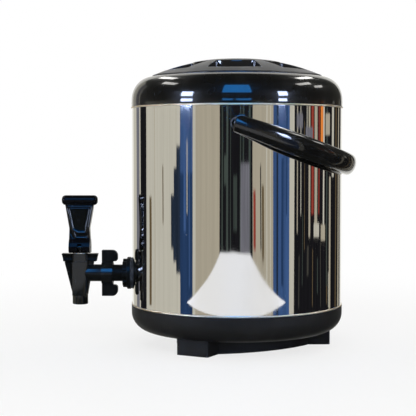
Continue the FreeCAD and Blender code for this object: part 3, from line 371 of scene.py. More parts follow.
def make_finishes(tints):
    """The finish of each of the record's material slots."""
    return {
        "mirror_steel": polished_steel(tints),
        "pot_steel": spun_steel(tints),
        "pin_steel": turned_steel(tints),
        "gloss_black": gloss_plastic("gloss_black_moulding", tints.gloss_black, tints.shoulder_gloss),
        "satin_black": grained_plastic(
            "satin_black_moulding", tints.satin_black, tints.lid_gloss, 1500.0, 0.000022, "pocket"),
        "matte_black": grained_plastic(
            "matt_black_moulding", tints.matte_black, 0.46, 1200.0, 0.00004, shine=0.13),
        "tap_black": gloss_plastic(
            "tap_black_moulding", tints.tap_black, 0.07, 0.32, 0.9, 0.000008, 0.05),
        "lever_black": gloss_plastic(
            "lever_black_moulding", tints.lever_black, 0.05, 0.24, 0.95, depth=0.05),
        "liner_black": grained_plastic("liner_black_moulding", (0.03, 0.03, 0.031), 0.42, 1400.0, 0.00003),
        "silicone": silicone_rubber(tints),
        "pad_rubber": pad_rubber(),
        "foam": poured_foam(tints),
    }


MADE_FINISHES = {}


def finish_for(slot):
    if slot not in MADE_FINISHES:
        MADE_FINISHES.update(make_finishes(bpy.context.scene.dispenser.finishes))
    return MADE_FINISHES[slot]


# Shapes, in millimetres until they become a mesh

def about_z(radius, angle, height):
    return radius * math.cos(angle), radius * math.sin(angle), height


def full_turn(steps):
    """Angles at even steps round a circle."""
    return [FULL_TURN * step / steps for step in range(steps)]


def quarter(steps):
    """Sine and cosine at even steps from 0 to 90 degrees."""
    angles = [QUARTER_TURN * step / steps for step in range(steps + 1)]
    return [(math.sin(angle), math.cos(angle)) for angle in angles]


def rounded(corners, steps=4, closed=True):
    """Points along a line of corners (a, b, radius), each corner rounded by its radius."""
    points = []
    for index, (a, b, radius) in enumerate(corners):
        here = Vector((a, b))
        if radius == 0 or (not closed and index in (0, len(corners) - 1)):
            points.append(tuple(here))
            continue
        before = (Vector(corners[index - 1][:2]) - here).normalized()
        after = (Vector(corners[(index + 1) % len(corners)][:2]) - here).normalized()
        half = before.angle(after) / 2
        middle = here + (before + after).normalized() * (radius / math.sin(half))
        start = here + before * (radius / math.tan(half)) - middle
        end = here + after * (radius / math.tan(half)) - middle
        first = math.atan2(start.y, start.x)
        sweep = (math.atan2(end.y, end.x) - first + math.pi) % FULL_TURN - math.pi
        for step in range(steps + 1):
            angle = first + sweep * step / steps
            points.append((middle.x + radius * math.cos(angle), middle.y + radius * math.sin(angle)))
    return points


def pairs(loop):
    """Each item of a loop with the one after it."""
    return list(zip(loop, loop[1:] + loop[:1]))


def drawn_in(outline, distance):
    """An outline that runs anticlockwise, moved in by a distance."""
    moved = []
    for index, point in enumerate(outline):
        here = Vector(point)
        before = (here - Vector(outline[index - 1])).normalized()
        after = (Vector(outline[(index + 1) % len(outline)]) - here).normalized()
        in_before = Vector((-before.y, before.x))
        in_after = Vector((-after.y, after.x))
        moved.append(tuple(here + (in_before + in_after) * (distance / (1 + in_before.dot(in_after)))))
    return moved


class Shape:
    """Points and faces of a piece."""

    def __init__(self):
        self.points = []
        self.faces = []

    def add(self, points):
        first = len(self.points)
        self.points.extend(points)
        return list(range(first, len(self.points)))

    def band(self, lower, upper, closed=True):
        """Faces between two rows of points."""
        sides = pairs(list(zip(lower, upper)))
        for (low, high), (next_low, next_high) in sides if closed else sides[:-1]:
            self.faces.append((low, next_low, next_high, high))

    def skin(self, rows, closed=True):
        """Faces between rows of points that follow each other, and the rows' indices."""
        rings = [self.add(row) for row in rows]
        for lower, upper in zip(rings, rings[1:]):
            self.band(lower, upper, closed)
        return rings

    def turn(self, profile, place, sides=96, closed=True):
        """A surface of revolution from (radius, height) points."""
        rings = []
        for radius, height in profile:
            if radius < 1e-6:
                rings.append(self.add([place(0, 0, height)]) * sides)
            else:
                rings.append(self.add([place(radius, angle, height) for angle in full_turn(sides)]))
        for lower, upper in zip(rings, rings[1:] + (rings[:1] if closed else [])):
            self.band(lower, upper)


def placed(name, data):
    """A new object in the scene."""
    piece = bpy.data.objects.new(name, data)
    bpy.context.scene.collection.objects.link(piece)
    return piece


def placed_mesh(name, work):
    """A new object with the mesh that was worked on."""
    mesh = bpy.data.meshes.new(name)
    work.to_mesh(mesh)
    work.free()
    return placed(name, mesh)


def add_shape(work, shape):
    """Adds a shape to the mesh that is worked on, and gives its faces there."""
    corners = [work.verts.new([value / 1000 for value in point]) for point in shape.points]
    faces = [dict.fromkeys(face) for face in shape.faces]
    return [work.faces.new([corners[corner] for corner in face]) for face in faces if len(face) > 2]


def make_piece(name, shape, body, slot, *stands_for, crease=35.0, marks=None):
    """Turns a shape into an object that rides on a body and stands for the solids named."""
    work = bmesh.new()
    add_shape(work, shape)
    bmesh.ops.remove_doubles(work, verts=work.verts, dist=SAME_POINT)
    bmesh.ops.recalc_face_normals(work, faces=work.faces)
    piece = placed_mesh(name, work)
    piece.data.shade_smooth()
    piece.data.set_sharp_from_angle(angle=math.radians(crease))
    dress(piece, body, slot, stands_for, marks)


def dress(piece, body, slot, stands_for, marks):
    """Gives a piece its finish, its marks, its body and the solids that it stands for."""
    mesh = piece.data
    mesh.materials.clear()
    mesh.materials.append(finish_for(slot))
    if marks is not None:
        key, test = marks
        values = mesh.attributes.new(key, "FLOAT", "POINT").data
        for vertex, held in zip(mesh.vertices, values):
            held.value = test(vertex.co * 1000)
    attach(piece, body)
    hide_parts(*stands_for)


def eased(name, node, body, slot, edge, segments=2, extra=None, grained=None):
    """A copy of a solid with its sharp edges rounded as in a mould, and an extra shape grown onto it."""
    work = bmesh.new()
    work.from_mesh(NODES[node].data)
    bmesh.ops.remove_doubles(work, verts=work.verts, dist=SAME_POINT)
    bmesh.ops.dissolve_limit(work, angle_limit=math.radians(0.5), verts=work.verts, edges=work.edges)
    if extra is not None:
        bmesh.ops.recalc_face_normals(work, faces=add_shape(work, extra))
    piece = placed_mesh(name, work)
    bevel = piece.modifiers.new("Edges", "BEVEL")
    bevel.width = edge / 1000
    bevel.segments = segments
    bevel.limit_method = "ANGLE"
    bevel.angle_limit = math.radians(38.0)
    bevel.use_clamp_overlap = True
    piece.data = worked(piece)
    piece.data.shade_smooth()
    piece.data.set_sharp_from_angle(angle=math.radians(32.0))
    flats = piece.modifiers.new("Flats", "WEIGHTED_NORMAL")
    flats.weight = 100
    flats.keep_sharp = True
    piece.data = worked(piece)
    dress(piece, body, slot, (node,), grained and ("grained", grained))


def worked(piece):
    """The piece's mesh with its modifiers carried out and taken off."""
    graph = bpy.context.evaluated_depsgraph_get()
    mesh = bpy.data.meshes.new_from_object(piece.evaluated_get(graph))
    piece.modifiers.clear()
    return mesh


def keep_solids(*names):
    """Gives solids whose shape is shown as it is the finish of their slot."""
    for name in names:
        for holder in NODES[name].material_slots:
            holder.material = finish_for(holder.material.name.split(".")[0])


def within(point, loop):
    """Whether a point lies inside a closed outline."""
    x, y = point
    inside = False
    for (x0, y0), (x1, y1) in pairs(loop):
        if (y0 > y) != (y1 > y) and x < x0 + (x1 - x0) * (y - y0) / (y1 - y0):
            inside = not inside
    return inside


def filled(outline, holes, spread, near):
    """Points and triangles of a flat area with holes, from its outlines and points spread over it."""
    flat, edges = [], []
    for loop in [outline] + holes:
        edges += pairs(list(range(len(flat), len(flat) + len(loop))))
        flat += loop
    made, _, faces, *_ = delaunay_2d_cdt([Vector(point) for point in flat + spread], edges, [], 0, near)
    kept = []
    for face in faces:
        centre = sum((made[corner] for corner in face), Vector((0, 0))) / len(face)
        if within(centre, outline) and not any(within(centre, hole) for hole in holes):
            kept.append(face)
    return made, kept


def ridge(shape, path, radius, place, sides=12):
    """Adds a rounded ridge along a closed path. Its radius follows the path's second coordinate."""
    beside = drawn_in(path, 1.0)
    rows = []
    for angle in full_turn(sides):
        rows.append([])
        for (u, v), (u1, v1) in zip(path, beside):
            across, out = radius(v) * math.cos(angle), radius(v) * math.sin(angle)
            rows[-1].append(place(u + (u1 - u) * across, v + (v1 - v) * across, out))
    rings = shape.skin(rows)
    shape.band(rings[-1], rings[0])


def cheeks(*levels):
    """Flattened sides of a moulded column, from (height, left, right, front) at each level."""
    shape = Shape()
    steps, foremost, flatness, turn_start, turn_rate = 10, 0.18, 7.6, 0.75, 5.6
    for side in (-1, 1):
        rows = []
        for height, left, right, front in levels:
            width = right - left
            face = []
            for step in range(steps + 1):
                away = (step / steps - foremost) * width
                turned_in = max(step / steps - turn_start, 0.0) * turn_rate
                out = front - away * away / (flatness * width) - turned_in ** 2 / 2
                face.append((left + width * step / steps, out, 0))
            corner = (left, face[0][1], 0.7)
            row = rounded([(left, 2.0, 0), corner] + face[1:] + [(right - 2.0, 2.0, 0)], 3)
            rows.append([(TAP_X + u, side * v, height) for u, v in row])
        rings = shape.skin(rows)
        shape.faces.append(rings[0])
        shape.faces.append(rings[-1])
    return shape


def fit_circle(a, b, c):
    """Centre and radius of the circle through three (radius, height) points."""
    (ax, ay), (bx, by), (cx, cy) = a, b, c
    twice = 2 * (ax * (by - cy) + bx * (cy - ay) + cx * (ay - by))
    aa, bb, cc = ax * ax + ay * ay, bx * bx + by * by, cx * cx + cy * cy
    x = (aa * (by - cy) + bb * (cy - ay) + cc * (ay - by)) / twice
    y = (aa * (cx - bx) + bb * (ax - cx) + cc * (bx - ax)) / twice
    return x, y, math.hypot(ax - x, ay - y)


# Pieces

class DISPENSER_OT_barrel(bpy.types.Operator):
    """Steel barrel with a rolled bead round each end, and the pot inside it"""
    bl_idname = "dispenser.barrel"
    bl_label = "Steel barrel"

    def execute(self, context):
        radius, wall, bead, bottom, top = in_mm(context.scene.dispenser.barrel)
        inner, chamfer, gap, rows = radius - wall, 0.3, 0.6, 14
        angles = [math.pi * (step / 8 - 0.5) for step in range(9)]
        roll = [(bead * math.cos(angle), bead * math.sin(angle)) for angle in angles]
        profile = [(inner, bottom), (radius - chamfer, bottom)]
        profile += [(radius + out, bottom + bead + up) for out, up in roll]
        for row in range(rows + 1):
            height = bottom + 2 * bead + gap + (top - bottom - 4 * bead - 2 * gap) * row / rows
            profile.append((radius, height))
        profile += [(radius + out, top - bead + up) for out, up in roll]
        profile += [(radius - chamfer, top), (inner, top), (inner, (top + bottom) / 2)]
        shape = Shape()
        shape.turn(profile, about_z, 360)

        # Marks the rolled beads, which are rougher, as a rolled hem is, and carry a painted warm reflection
        # tint.
        def rolled(point):
            return float(math.hypot(point.x, point.y) > radius + 0.1)

        make_piece("steel_shell", shape, "barrel", "mirror_steel", "outer_shell",
                   crease=50.0, marks=("rolled", rolled))
        keep_solids("inner_pot", "insulation_foam", "rim_gasket", "wall_sleeve")
        return {"FINISHED"}


class DISPENSER_OT_shoulder(bpy.types.Operator):
    """Gloss black shoulder ring with the lid's seat"""
    bl_idname = "dispenser.shoulder"
    bl_label = "Shoulder ring"

    def execute(self, context):
        radius, spring, crest, mouth, edge = in_mm(context.scene.dispenser.shoulder)
        reach, rise = radius - mouth - edge - 0.13, crest - spring
        foot, straight, draft, steps = 294.0, 296.0, 0.00283, 30
        profile = rounded([(127.5, foot, 0), (radius, foot, 0.35), (radius, straight, 0)], closed=False)
        for step in range(1, 9):
            height = 7.4 * step / 9
            profile.append((radius - draft * height * height, straight + height))
        first = math.asin(1.4 / rise)
        for step in range(steps + 1):
            angle = first + (QUARTER_TURN - first) * step / steps
            profile.append((mouth + edge + reach * math.cos(angle), spring + rise * math.sin(angle)))
        for sine, cosine in quarter(5)[1:]:
            profile.append((mouth + edge - edge * sine, crest - edge + edge * cosine))
        # Seat of the lid, throat, groove of the gasket, and the hollow underneath
        profile += [
            (mouth, 322.0), (mouth, 318.4), (mouth - 0.4, 318.0), (101.9, 318.0), (101.25, 317.7),
            (101.0, 317.1), (101.0, 315.4), (101.2, 315.2), (112.6, 315.2), (112.6, 312.6), (114.8, 312.6),
            (114.8, 318.0), (109.0, 318.0), (109.0, 326.9), (117.0, 324.3), (124.0, 317.6),
            (127.5, 304.0), (128.7, 298.0), (128.7, 286.0), (125.9, 286.0), (125.9, 294.0),
        ]
        shape = Shape()
        shape.turn(profile, about_z, 256)
        make_piece("shoulder_moulding", shape, "barrel", "gloss_black", "shoulder_ring")
        return {"FINISHED"}


class DISPENSER_OT_base(bpy.types.Operator):
    """Matt black base with its feet, pads and plug"""
    bl_idname = "dispenser.base"
    bl_label = "Base and feet"

    def execute(self, context):
        eased("base_moulding", "base_bowl", "barrel", "matte_black", 0.5)
        keep_solids("foot_pads", "foam_fill_plug")
        return {"FINISHED"}


class DISPENSER_OT_lid(bpy.types.Operator):
    """Domed lid with six finger pockets, and the plug, foam and seal under it"""
    bl_idname = "dispenser.lid"
    bl_label = "Lid"

    def execute(self, context):
        radius, edge, bevel, top, rim, foot, floor = in_mm(context.scene.dispenser.lid)
        crown, join, join_height = 20.0, 50.0, 349.4
        outer_arc = fit_circle((radius - bevel, edge + bevel), (76.0, 342.8), (join, join_height))
        crown_arc = fit_circle((join, join_height), (36.5, 351.3), (crown, top))

        def dome(distance):
            if distance <= crown:
                return top
            x, y, size = outer_arc if distance > join else crown_arc
            return y + math.sqrt(size * size - (distance - x) ** 2)

        def pocket(height, grow):
            """The outline of the finger pocket at +X at a height, anticlockwise, set out by grow."""
            hub_radius, rim_radius, hub_half, rim_half, steps = 54.2, 93.2, 23.6, 33.6, 12
            rise = (height - floor) / (top + 4 - floor)
            draft, ramp = 1.4 * (1 - rise) + 0.3, 6.0 - 7.5 * rise
            inner = hub_radius + draft - 0.07 * max(height - 347.2, 0.0) ** 2
            outer = rim_radius - ramp
            near, far = hub_half - draft, rim_half - draft - ramp * 0.1
            hub, corner = math.sqrt(inner * inner - near * near), math.sqrt(outer * outer - far * far)
            flat = rounded([
                (inner * inner / hub, 0.0, inner * 0.86), (hub, -near, 2.0), (corner, -far, 4.0),
                (outer * outer / corner, 0.0, outer * 0.75), (corner, far, 4.0), (hub, near, 2.0)], steps)
            dense = []
            for index, ((u, v), (next_u, next_v)) in enumerate(pairs(flat)):
                parts = 8 if index % (steps + 1) == steps else 1
                for part in range(parts):
                    along = part / parts
                    dense.append((u + (next_u - u) * along, v + (next_v - v) * along))
            return drawn_in(dense, -grow)

        def raised(points):
            return [(u, v, dome(math.hypot(u, v))) for u, v in points]

        def on_dome(grow, drop):
            """The pocket's outline where it meets the dome, a little below it."""
            points = raised(pocket(345.0, grow))
            for _ in range(3):
                points = raised([pocket(point[2] - drop, grow)[index] for index, point in enumerate(points)])
            return [(u, v, height - drop) for u, v, height in points]

        # The wall of one pocket in rows, from the dome down to its floor
        wall = [on_dome(rim * (1 - sine), rim * (1 - cosine)) for sine, cosine in quarter(4)]
        wall[0] = raised([(u, v) for u, v, _ in wall[0]])
        for part in (0.02, 0.05, 0.09, 0.16, 0.3, 0.6, 0.96):
            heights = [height + (floor + foot - height) * part for _, _, height in wall[4]]
            wall.append([(*pocket(height, 0.0)[index], height) for index, height in enumerate(heights)])
        for sine, cosine in quarter(4):
            height = floor + foot * (1 - sine)
            wall.append([(u, v, height) for u, v in pocket(height, -foot * (1 - cosine))])

        shape = Shape()
        sides, pockets, first_pocket, inset = 192, 6, -91.8, radius - bevel
        walls = []
        for index in range(pockets):
            turn = math.radians(first_pocket + 60 * index)
            cos, sin = math.cos(turn), math.sin(turn)
            walls.append(
                [[(u * cos - v * sin, u * sin + v * cos, height) for u, v, height in row] for row in wall])
        loops = [[(u, v) for u, v, _ in rows[0]] for rows in walls]
        rim_ring = [about_z(inset, angle, 0)[:2] for angle in full_turn(sides)]

        # Points spread over the dome, so that its faces stay small and even
        kept_clear = [drawn_in(loop, -1.4) for loop in loops]
        distance, apart, ring_apart = 3.0, 3.2, 2.8
        spread = [(0.0, 0.0)]
        while distance < inset - 1.5:
            count = max(12, int(FULL_TURN * distance / apart))
            for index in range(count):
                angle = FULL_TURN * (index + 0.5 * (int(distance) % 2)) / count
                point = (distance * math.cos(angle), distance * math.sin(angle))
                if not any(within(point, loop) for loop in kept_clear):
                    spread.append(point)
            distance += ring_apart
        made, faces = filled(rim_ring, loops, spread, 1e-6)
        shape.add([(point.x, point.y, dome(min(point.length, inset))) for point in made])
        shape.faces += faces
        for rows in walls:
            rings = shape.skin(rows)
            shape.faces.append(rings[-1])
        edge_profile = [(inset, edge + bevel)]
        edge_profile += [(inset + bevel * sine, edge + bevel * cosine) for sine, cosine in quarter(5)[1:]]
        edge_profile += [(radius, 326.0), (radius, 322.8), (radius - 0.4, 322.4), (0, 322.4)]
        shape.turn(edge_profile, about_z, sides, closed=False)

        def polished(point):
            distance = math.hypot(point.x, point.y)
            return float(46 < distance < 96 and point.z < dome(distance) - 0.4)

        make_piece("lid_moulding", shape, "lid", "satin_black", "lid_cover", marks=("pocket", polished))
        keep_solids("lid_liner", "lid_foam", "lid_seal")
        return {"FINISHED"}


class DISPENSER_OT_bail(bpy.types.Operator):
    """Carrying hoop, its bosses and pins"""
    bl_idname = "dispenser.bail"
    bl_label = "Bail"

    def execute(self, context):
        radius, thick, width, end_width, pivot = in_mm(context.scene.dispenser.bail)
        rest = math.radians(19.3)
        end_reach, edge, edge_share, corner_round, foot_cut, taper = 2.8, 1.7, 0.19, 6.9, 0.22, 75.0
        corners, count = 40, 96
        start = radius * math.sin(math.pi / count)
        ends = [(end_reach, 0.3), (end_reach, 0.55), (end_reach, 0.7)]
        for sine, cosine in quarter(5):
            ends.append((end_reach - edge * (1 - cosine), 1 - edge_share * (1 - sine)))
        ends.append((0.6, 1.0))

        # Stations along the hoop: middle, outward direction, way from the end, and part of the full section
        stations = [(Vector((-along, -radius, 0)), Vector((0, -1, 0)), 0.0, shrink) for along, shrink in ends]
        for step in range(1, count):
            angle = math.pi * step / count
            outward = Vector((math.sin(angle), -math.cos(angle), 0))
            stations.append((outward * radius, outward, min(angle, math.pi - angle) * radius, 1.0))
        stations += [(Vector((-along, radius, 0)), Vector((0, 1, 0)), 0.0, shrink)
                     for along, shrink in reversed(ends)]
        rows = []
        for place, outward, run, shrink in stations:
            grown = min(run / taper, 1.0)
            half = (end_width + (width - end_width) * grown * grown * (3 - 2 * grown)) / 2
            row = []
            for angle in full_turn(corners):
                out = thick / 2 * math.cos(angle) * shrink
                up = half * math.sin(angle) * shrink
                point = place + outward * out + Vector((0, 0, up))
                if place.x < start:
                    rounding = max(up - (half - corner_round), 0.0)
                    setback = corner_round - math.sqrt(corner_round ** 2 - rounding ** 2)
                    setback += foot_cut * max(-up, 0.0)
                    point.x += (start - point.x) * setback / (start + end_reach)
                x = point.x * math.cos(rest) + point.z * math.sin(rest)
                z = -point.x * math.sin(rest) + point.z * math.cos(rest)
                row.append((x, point.y, pivot + z))
            rows.append(row)
        shape = Shape()
        rings = shape.skin(rows)
        shape.faces.append(rings[0])
        shape.faces.append(rings[-1])
        bushing = [(3.1, 134.2), (5.1, 134.2), (5.5, 134.6), (5.5, 142.0), (3.1, 142.0)]
        for side in (-1, 1):
            shape.turn(bushing, lambda distance, angle, out: (
                distance * math.cos(angle), side * out, pivot + distance * math.sin(angle)), 48)
        make_piece("bail_hoop", shape, "bail", "gloss_black", "bail_handle", crease=48.0)
        for side in ("left", "right"):
            eased(f"{side}_boss", f"{side}_pivot_boss", "barrel", "satin_black", 0.4,
                  grained=lambda point: 1.0)
        keep_solids("pivot_pins", "pivot_plates")
        return {"FINISHED"}


class DISPENSER_OT_inlet(bpy.types.Operator):
    """Shank, nuts and washers between the barrel and the tap, and the wing nut"""
    bl_idname = "dispenser.inlet"
    bl_label = "Way through the wall"

    def execute(self, context):
        eased("shank_tube", "tap_shank", "barrel", "tap_black", 0.4, grained=lambda point: 1.0)
        eased("lobed_nut", "outer_nut", "barrel", "tap_black", 0.7, grained=lambda point: 0.9)
        eased("hexagon_nut", "inner_nut", "barrel", "tap_black", 0.5)
        eased("wing_nut_moulding", "wing_nut", "wing_nut", "tap_black", 0.9, 3,
              grained=lambda point: 1.0 if abs(point.z - TAIL_HEIGHT) > 11 else 0.1)
        keep_solids("outer_washer", "inner_washer", "tail_seal")
        return {"FINISHED"}


class DISPENSER_OT_valve(bpy.types.Operator):
    """Valve body, bonnet, stem and cup"""
    bl_idname = "dispenser.valve"
    bl_label = "Valve"

    def execute(self, context):
        column = cheeks((59.2, -8.8, 8.9, 11.4), (101.2, -8.8, 10.8, 12.0))
        cap = cheeks((101.7, -8.0, 10.1, 10.6), (111.1, -8.0, 10.1, 10.6))

        def fin(point):
            return float(abs(point.x - TAP_X) > 10.2 or (point.x < TAP_X - 9.1 and abs(point.y) < 3))

        def wing(point):
            return float(abs(point.x - TAP_X) > 8.5 and abs(point.y) < 5.2)

        eased("valve_body", "tap_body", "barrel", "tap_black", 0.6, extra=column, grained=fin)
        eased("valve_bonnet", "tap_bonnet", "barrel", "tap_black", 0.6, extra=cap, grained=wing)
        keep_solids("valve_stem", "seat_cup", "slip_washer")
        return {"FINISHED"}


class DISPENSER_OT_lever(bpy.types.Operator):
    """Lever and its pin"""
    bl_idname = "dispenser.lever"
    bl_label = "Lever"

    def execute(self, context):
        lip = Shape()
        panel_top, panel_half, waist, flare, face = 170.9, 11.5, 143.0, 0.1696, -5.8
        for inset, low, bend, cut, thin, grown in (
                (0.4, 131.5, 147.5, 6.6, 0.9, 0.02), (2.9, 137.9, 142.0, 7.0, 0.6, 0.06)):
            top, half = panel_top - inset, panel_half - inset
            top_half = half + flare * (top - waist)
            path = rounded([
                (top_half, top, 1.6), (-top_half, top, 1.6), (-half, bend, 3.0), (-half + cut, low, 1.5),
                (half, low, 2.0), (half, 142.0, 3.0)], 4)
            ridge(lip, path, lambda v: thin + (171 - v) * grown, lambda u, v, out: (TAP_X + u, face - out, v))

        def grip_or_foot(point):
            return 0.93 if point.z > 172.2 or point.z < 130.5 else 0.0

        eased("lever_moulding", "tap_lever", "lever", "lever_black", 0.6, 3, lip, grip_or_foot)
        keep_solids("lever_pin")
        return {"FINISHED"}


# Stage

def floor_sheet(name, outline, holes, seen_in_gloss, material):
    """A flat sheet of the floor."""
    made, faces = filled(outline, holes, [], 1e-5)
    mesh = bpy.data.meshes.new(name)
    mesh.from_pydata([(point.x, point.y, 0.0) for point in made], [], faces)
    mesh.materials.append(material)
    sheet = placed(name, mesh)
    sheet.visible_glossy = seen_in_gloss


def floor_material():
    """Pale floor. The camera sees it near white, with the object's shadow kept."""
    finish = Finish("pale_floor")
    seen, mirrored = finish.ray("Camera"), finish.ray("Glossy")
    away = finish.node("VectorMath", {"operation": "LENGTH"}, {0: finish.place()}, "Value")
    grain = finish.noise(60, 3)
    tone = finish.blend(grain, rgba((0.8, 0.8, 0.79)), rgba((0.77, 0.77, 0.765)))
    lit = finish.node("BsdfPrincipled", None, {"Base Color": tone, "Roughness": 0.6})
    white = finish.node("Emission", None, {"Color": (1, 1, 1, 1), "Strength": 1.0})
    part = seen * (0.78 + 0.22 * away.rises(0.2, 0.9)) + mirrored * 0.8
    return finish.shown(finish.node("MixShader", None, {0: part, 1: lit, 2: white}))


SLATE = (0.045, 0.098, 0.245)
DEEP = (0.02, 0.048, 0.125)
SAND = (0.45, 0.41, 0.32)
STONE = (0.58, 0.56, 0.48)
PAPER = (0.92, 0.91, 0.86)
SOOT = (0.01, 0.01, 0.012)
PINE = (0.05, 0.065, 0.058)
NAVY = (0.018, 0.028, 0.05)
LILAC = (0.17, 0.17, 0.2)
BRICK = (0.3, 0.05, 0.035)
AMBER = (0.85, 0.26, 0.05)
BARK = (0.13, 0.095, 0.05)
SHADE = (0.06, 0.058, 0.05)
CEILING = (0.035, 0.037, 0.032)
SKY = (0.26, 2.7, 8.0)
WINDOW = (28.0, 34.0, 50.0)

# Heights, in metres, at which the cards start and end
LOW, WALL, BEAM, TOP = -4.0, 0.56, 2.6, 6.0

# Cards round the object: from, to (degrees about the camera's direction), low, high (metres), tint
CARDS = (
    (-180, -154, LOW, TOP, PAPER), (-154, -140, LOW, BEAM, STONE), (-140, -131, LOW, BEAM, LILAC),
    (-131, -128, LOW, BEAM, STONE), (-128, -114.4, LOW, WALL, SOOT), (-114.4, -61.5, LOW, WALL, STONE),
    (-61.5, -46.7, 0.12, WALL, SLATE), (-61.5, -46.7, LOW, 0.12, DEEP), (-46.7, -43.4, LOW, WALL, STONE),
    (-43.4, -18.5, LOW, WALL, SAND), (-18.5, 16.2, LOW, WALL, SOOT), (16.2, 38.8, LOW, WALL, SAND),
    (38.8, 57.5, LOW, WALL, SLATE), (57.5, 63.3, LOW, WALL, STONE), (63.3, 155.4, LOW, WALL, SOOT),
    (155.4, 180, LOW, TOP, PAPER), (-128, 155.4, WALL, BEAM, SHADE), (-154, 155.4, BEAM, TOP, CEILING),
)
# Strips in front of the cards
STRIPS = (
    (-57, -54.5, -0.2, WALL, SLATE), (-51, -49.5, -0.5, 0.12, SLATE), (-53.5, -52.6, -0.1, 0.3, STONE),
    (90, 99, -0.23, -0.15, STONE), (102, 110, -0.25, -0.16, SAND), (66, 74, 0.36, 0.44, LILAC),
    (78, 88, 0.3, 0.37, LILAC), (110, 119, 0.33, 0.45, SAND), (-14, -10, 0.05, 0.22, PINE),
    (69, 70.2, -0.62, -0.33, SHADE), (73.5, 74.3, -0.5, -0.1, PINE), (80, 82.5, -0.45, -0.28, SHADE),
    (88, 88.8, -0.62, -0.3, BARK), (95.5, 97, -0.55, -0.35, PINE), (101, 102, -0.62, -0.26, SHADE),
    (112.5, 114, -0.6, -0.3, BARK), (116.5, 117.5, -0.62, -0.42, STONE), (-4, 0, -0.2, 0.1, PINE),
    (48, 50.5, -0.5, 0.2, DEEP), (53.5, 55, -0.1, WALL, DEEP), (-66, -61.5, 0.15, 0.27, NAVY),
    (-69.5, -61.5, 0, 0.15, NAVY), (-73.5, -61.5, -0.3, 0, NAVY), (-70.5, -61.5, -0.37, -0.3, NAVY),
    (-66.5, -61.5, -0.43, -0.37, NAVY), (-86, -84.6, -0.16, 0.16, BARK), (-108.5, -104.5, -0.6, -0.02, BARK),
    (-99, -98.2, LOW, WALL, SAND), (-16.5, -15, LOW, WALL, PINE), (-11.5, -9.5, LOW, WALL, PINE),
    (-7.5, -6.6, LOW, WALL, PINE), (2.8, 4, LOW, WALL, PINE), (5.5, 7, 0.17, WALL, PINE),
    (3.5, 13, -0.32, 0.17, LILAC), (12, 14.2, LOW, WALL, PINE), (17, 19.5, -0.3, 0.02, BRICK),
    (24.5, 25.6, -0.3, 0.16, SOOT), (26.4, 28.6, -0.36, 0.05, BARK), (31, 32.4, LOW, WALL, STONE),
    (35.4, 36.2, LOW, WALL, STONE), (42.6, 44.4, LOW, WALL, NAVY), (66.5, 67.6, -0.2, WALL, SAND),
    (71, 71.8, -0.1, WALL, STONE), (76, 76.6, -0.3, 0.4, BARK), (79.5, 80.4, 0.2, WALL, STONE),
    (82, 84.5, -0.23, WALL, SAND), (86.2, 89.6, -0.1, WALL, BRICK), (91, 95.5, -0.23, WALL, SAND),
    (97.5, 99.2, -0.1, WALL, BRICK), (101, 105.6, 0.24, WALL, AMBER), (105.6, 108.2, -0.18, WALL, STONE),
    (112, 114.2, -0.5, WALL, PINE), (118, 121.5, LOW, 0.1, SAND), (124, 129, 0.1, WALL, STONE),
    (134, 137, LOW, WALL, BARK), (143, 146.5, LOW, WALL, SAND), (149.5, 151.5, LOW, 0.2, STONE),
)
# Windows and sky, in front of the strips
LIGHT_CARDS = (
    (-61, -47.2, 0.86, 1.98, WINDOW), (-61, -47.2, 0.51, 0.68, WINDOW), (44.4, 55.2, 0.88, 2, WINDOW),
    (44.2, 54, 0.51, 0.68, WINDOW), (-15.4, 15.6, 1.62, 5.7, SKY), (-15, -4, WALL, 0.67, SKY),
    (-1, 15, WALL, 0.67, SKY),
)
# Outline of the table sheet, in metres
TABLE = (
    (-0.458, -0.407), (-0.47, -0.6), (-0.438, -1.435), (-0.092, -1.516), (0.329, -1.441), (0.397, -1.1),
    (0.437, -0.64), (0.451, -0.404), (0.337, -0.423), (0.23, -0.437), (-0.171, -0.455), (-0.293, -0.439),
)


def mirrored_only(name, mesh):
    """Adds a card to the stage that shows in reflections alone."""
    card = placed(name, mesh)
    for kind in ("camera", "diffuse", "shadow", "transmission"):
        setattr(card, "visible_" + kind, False)


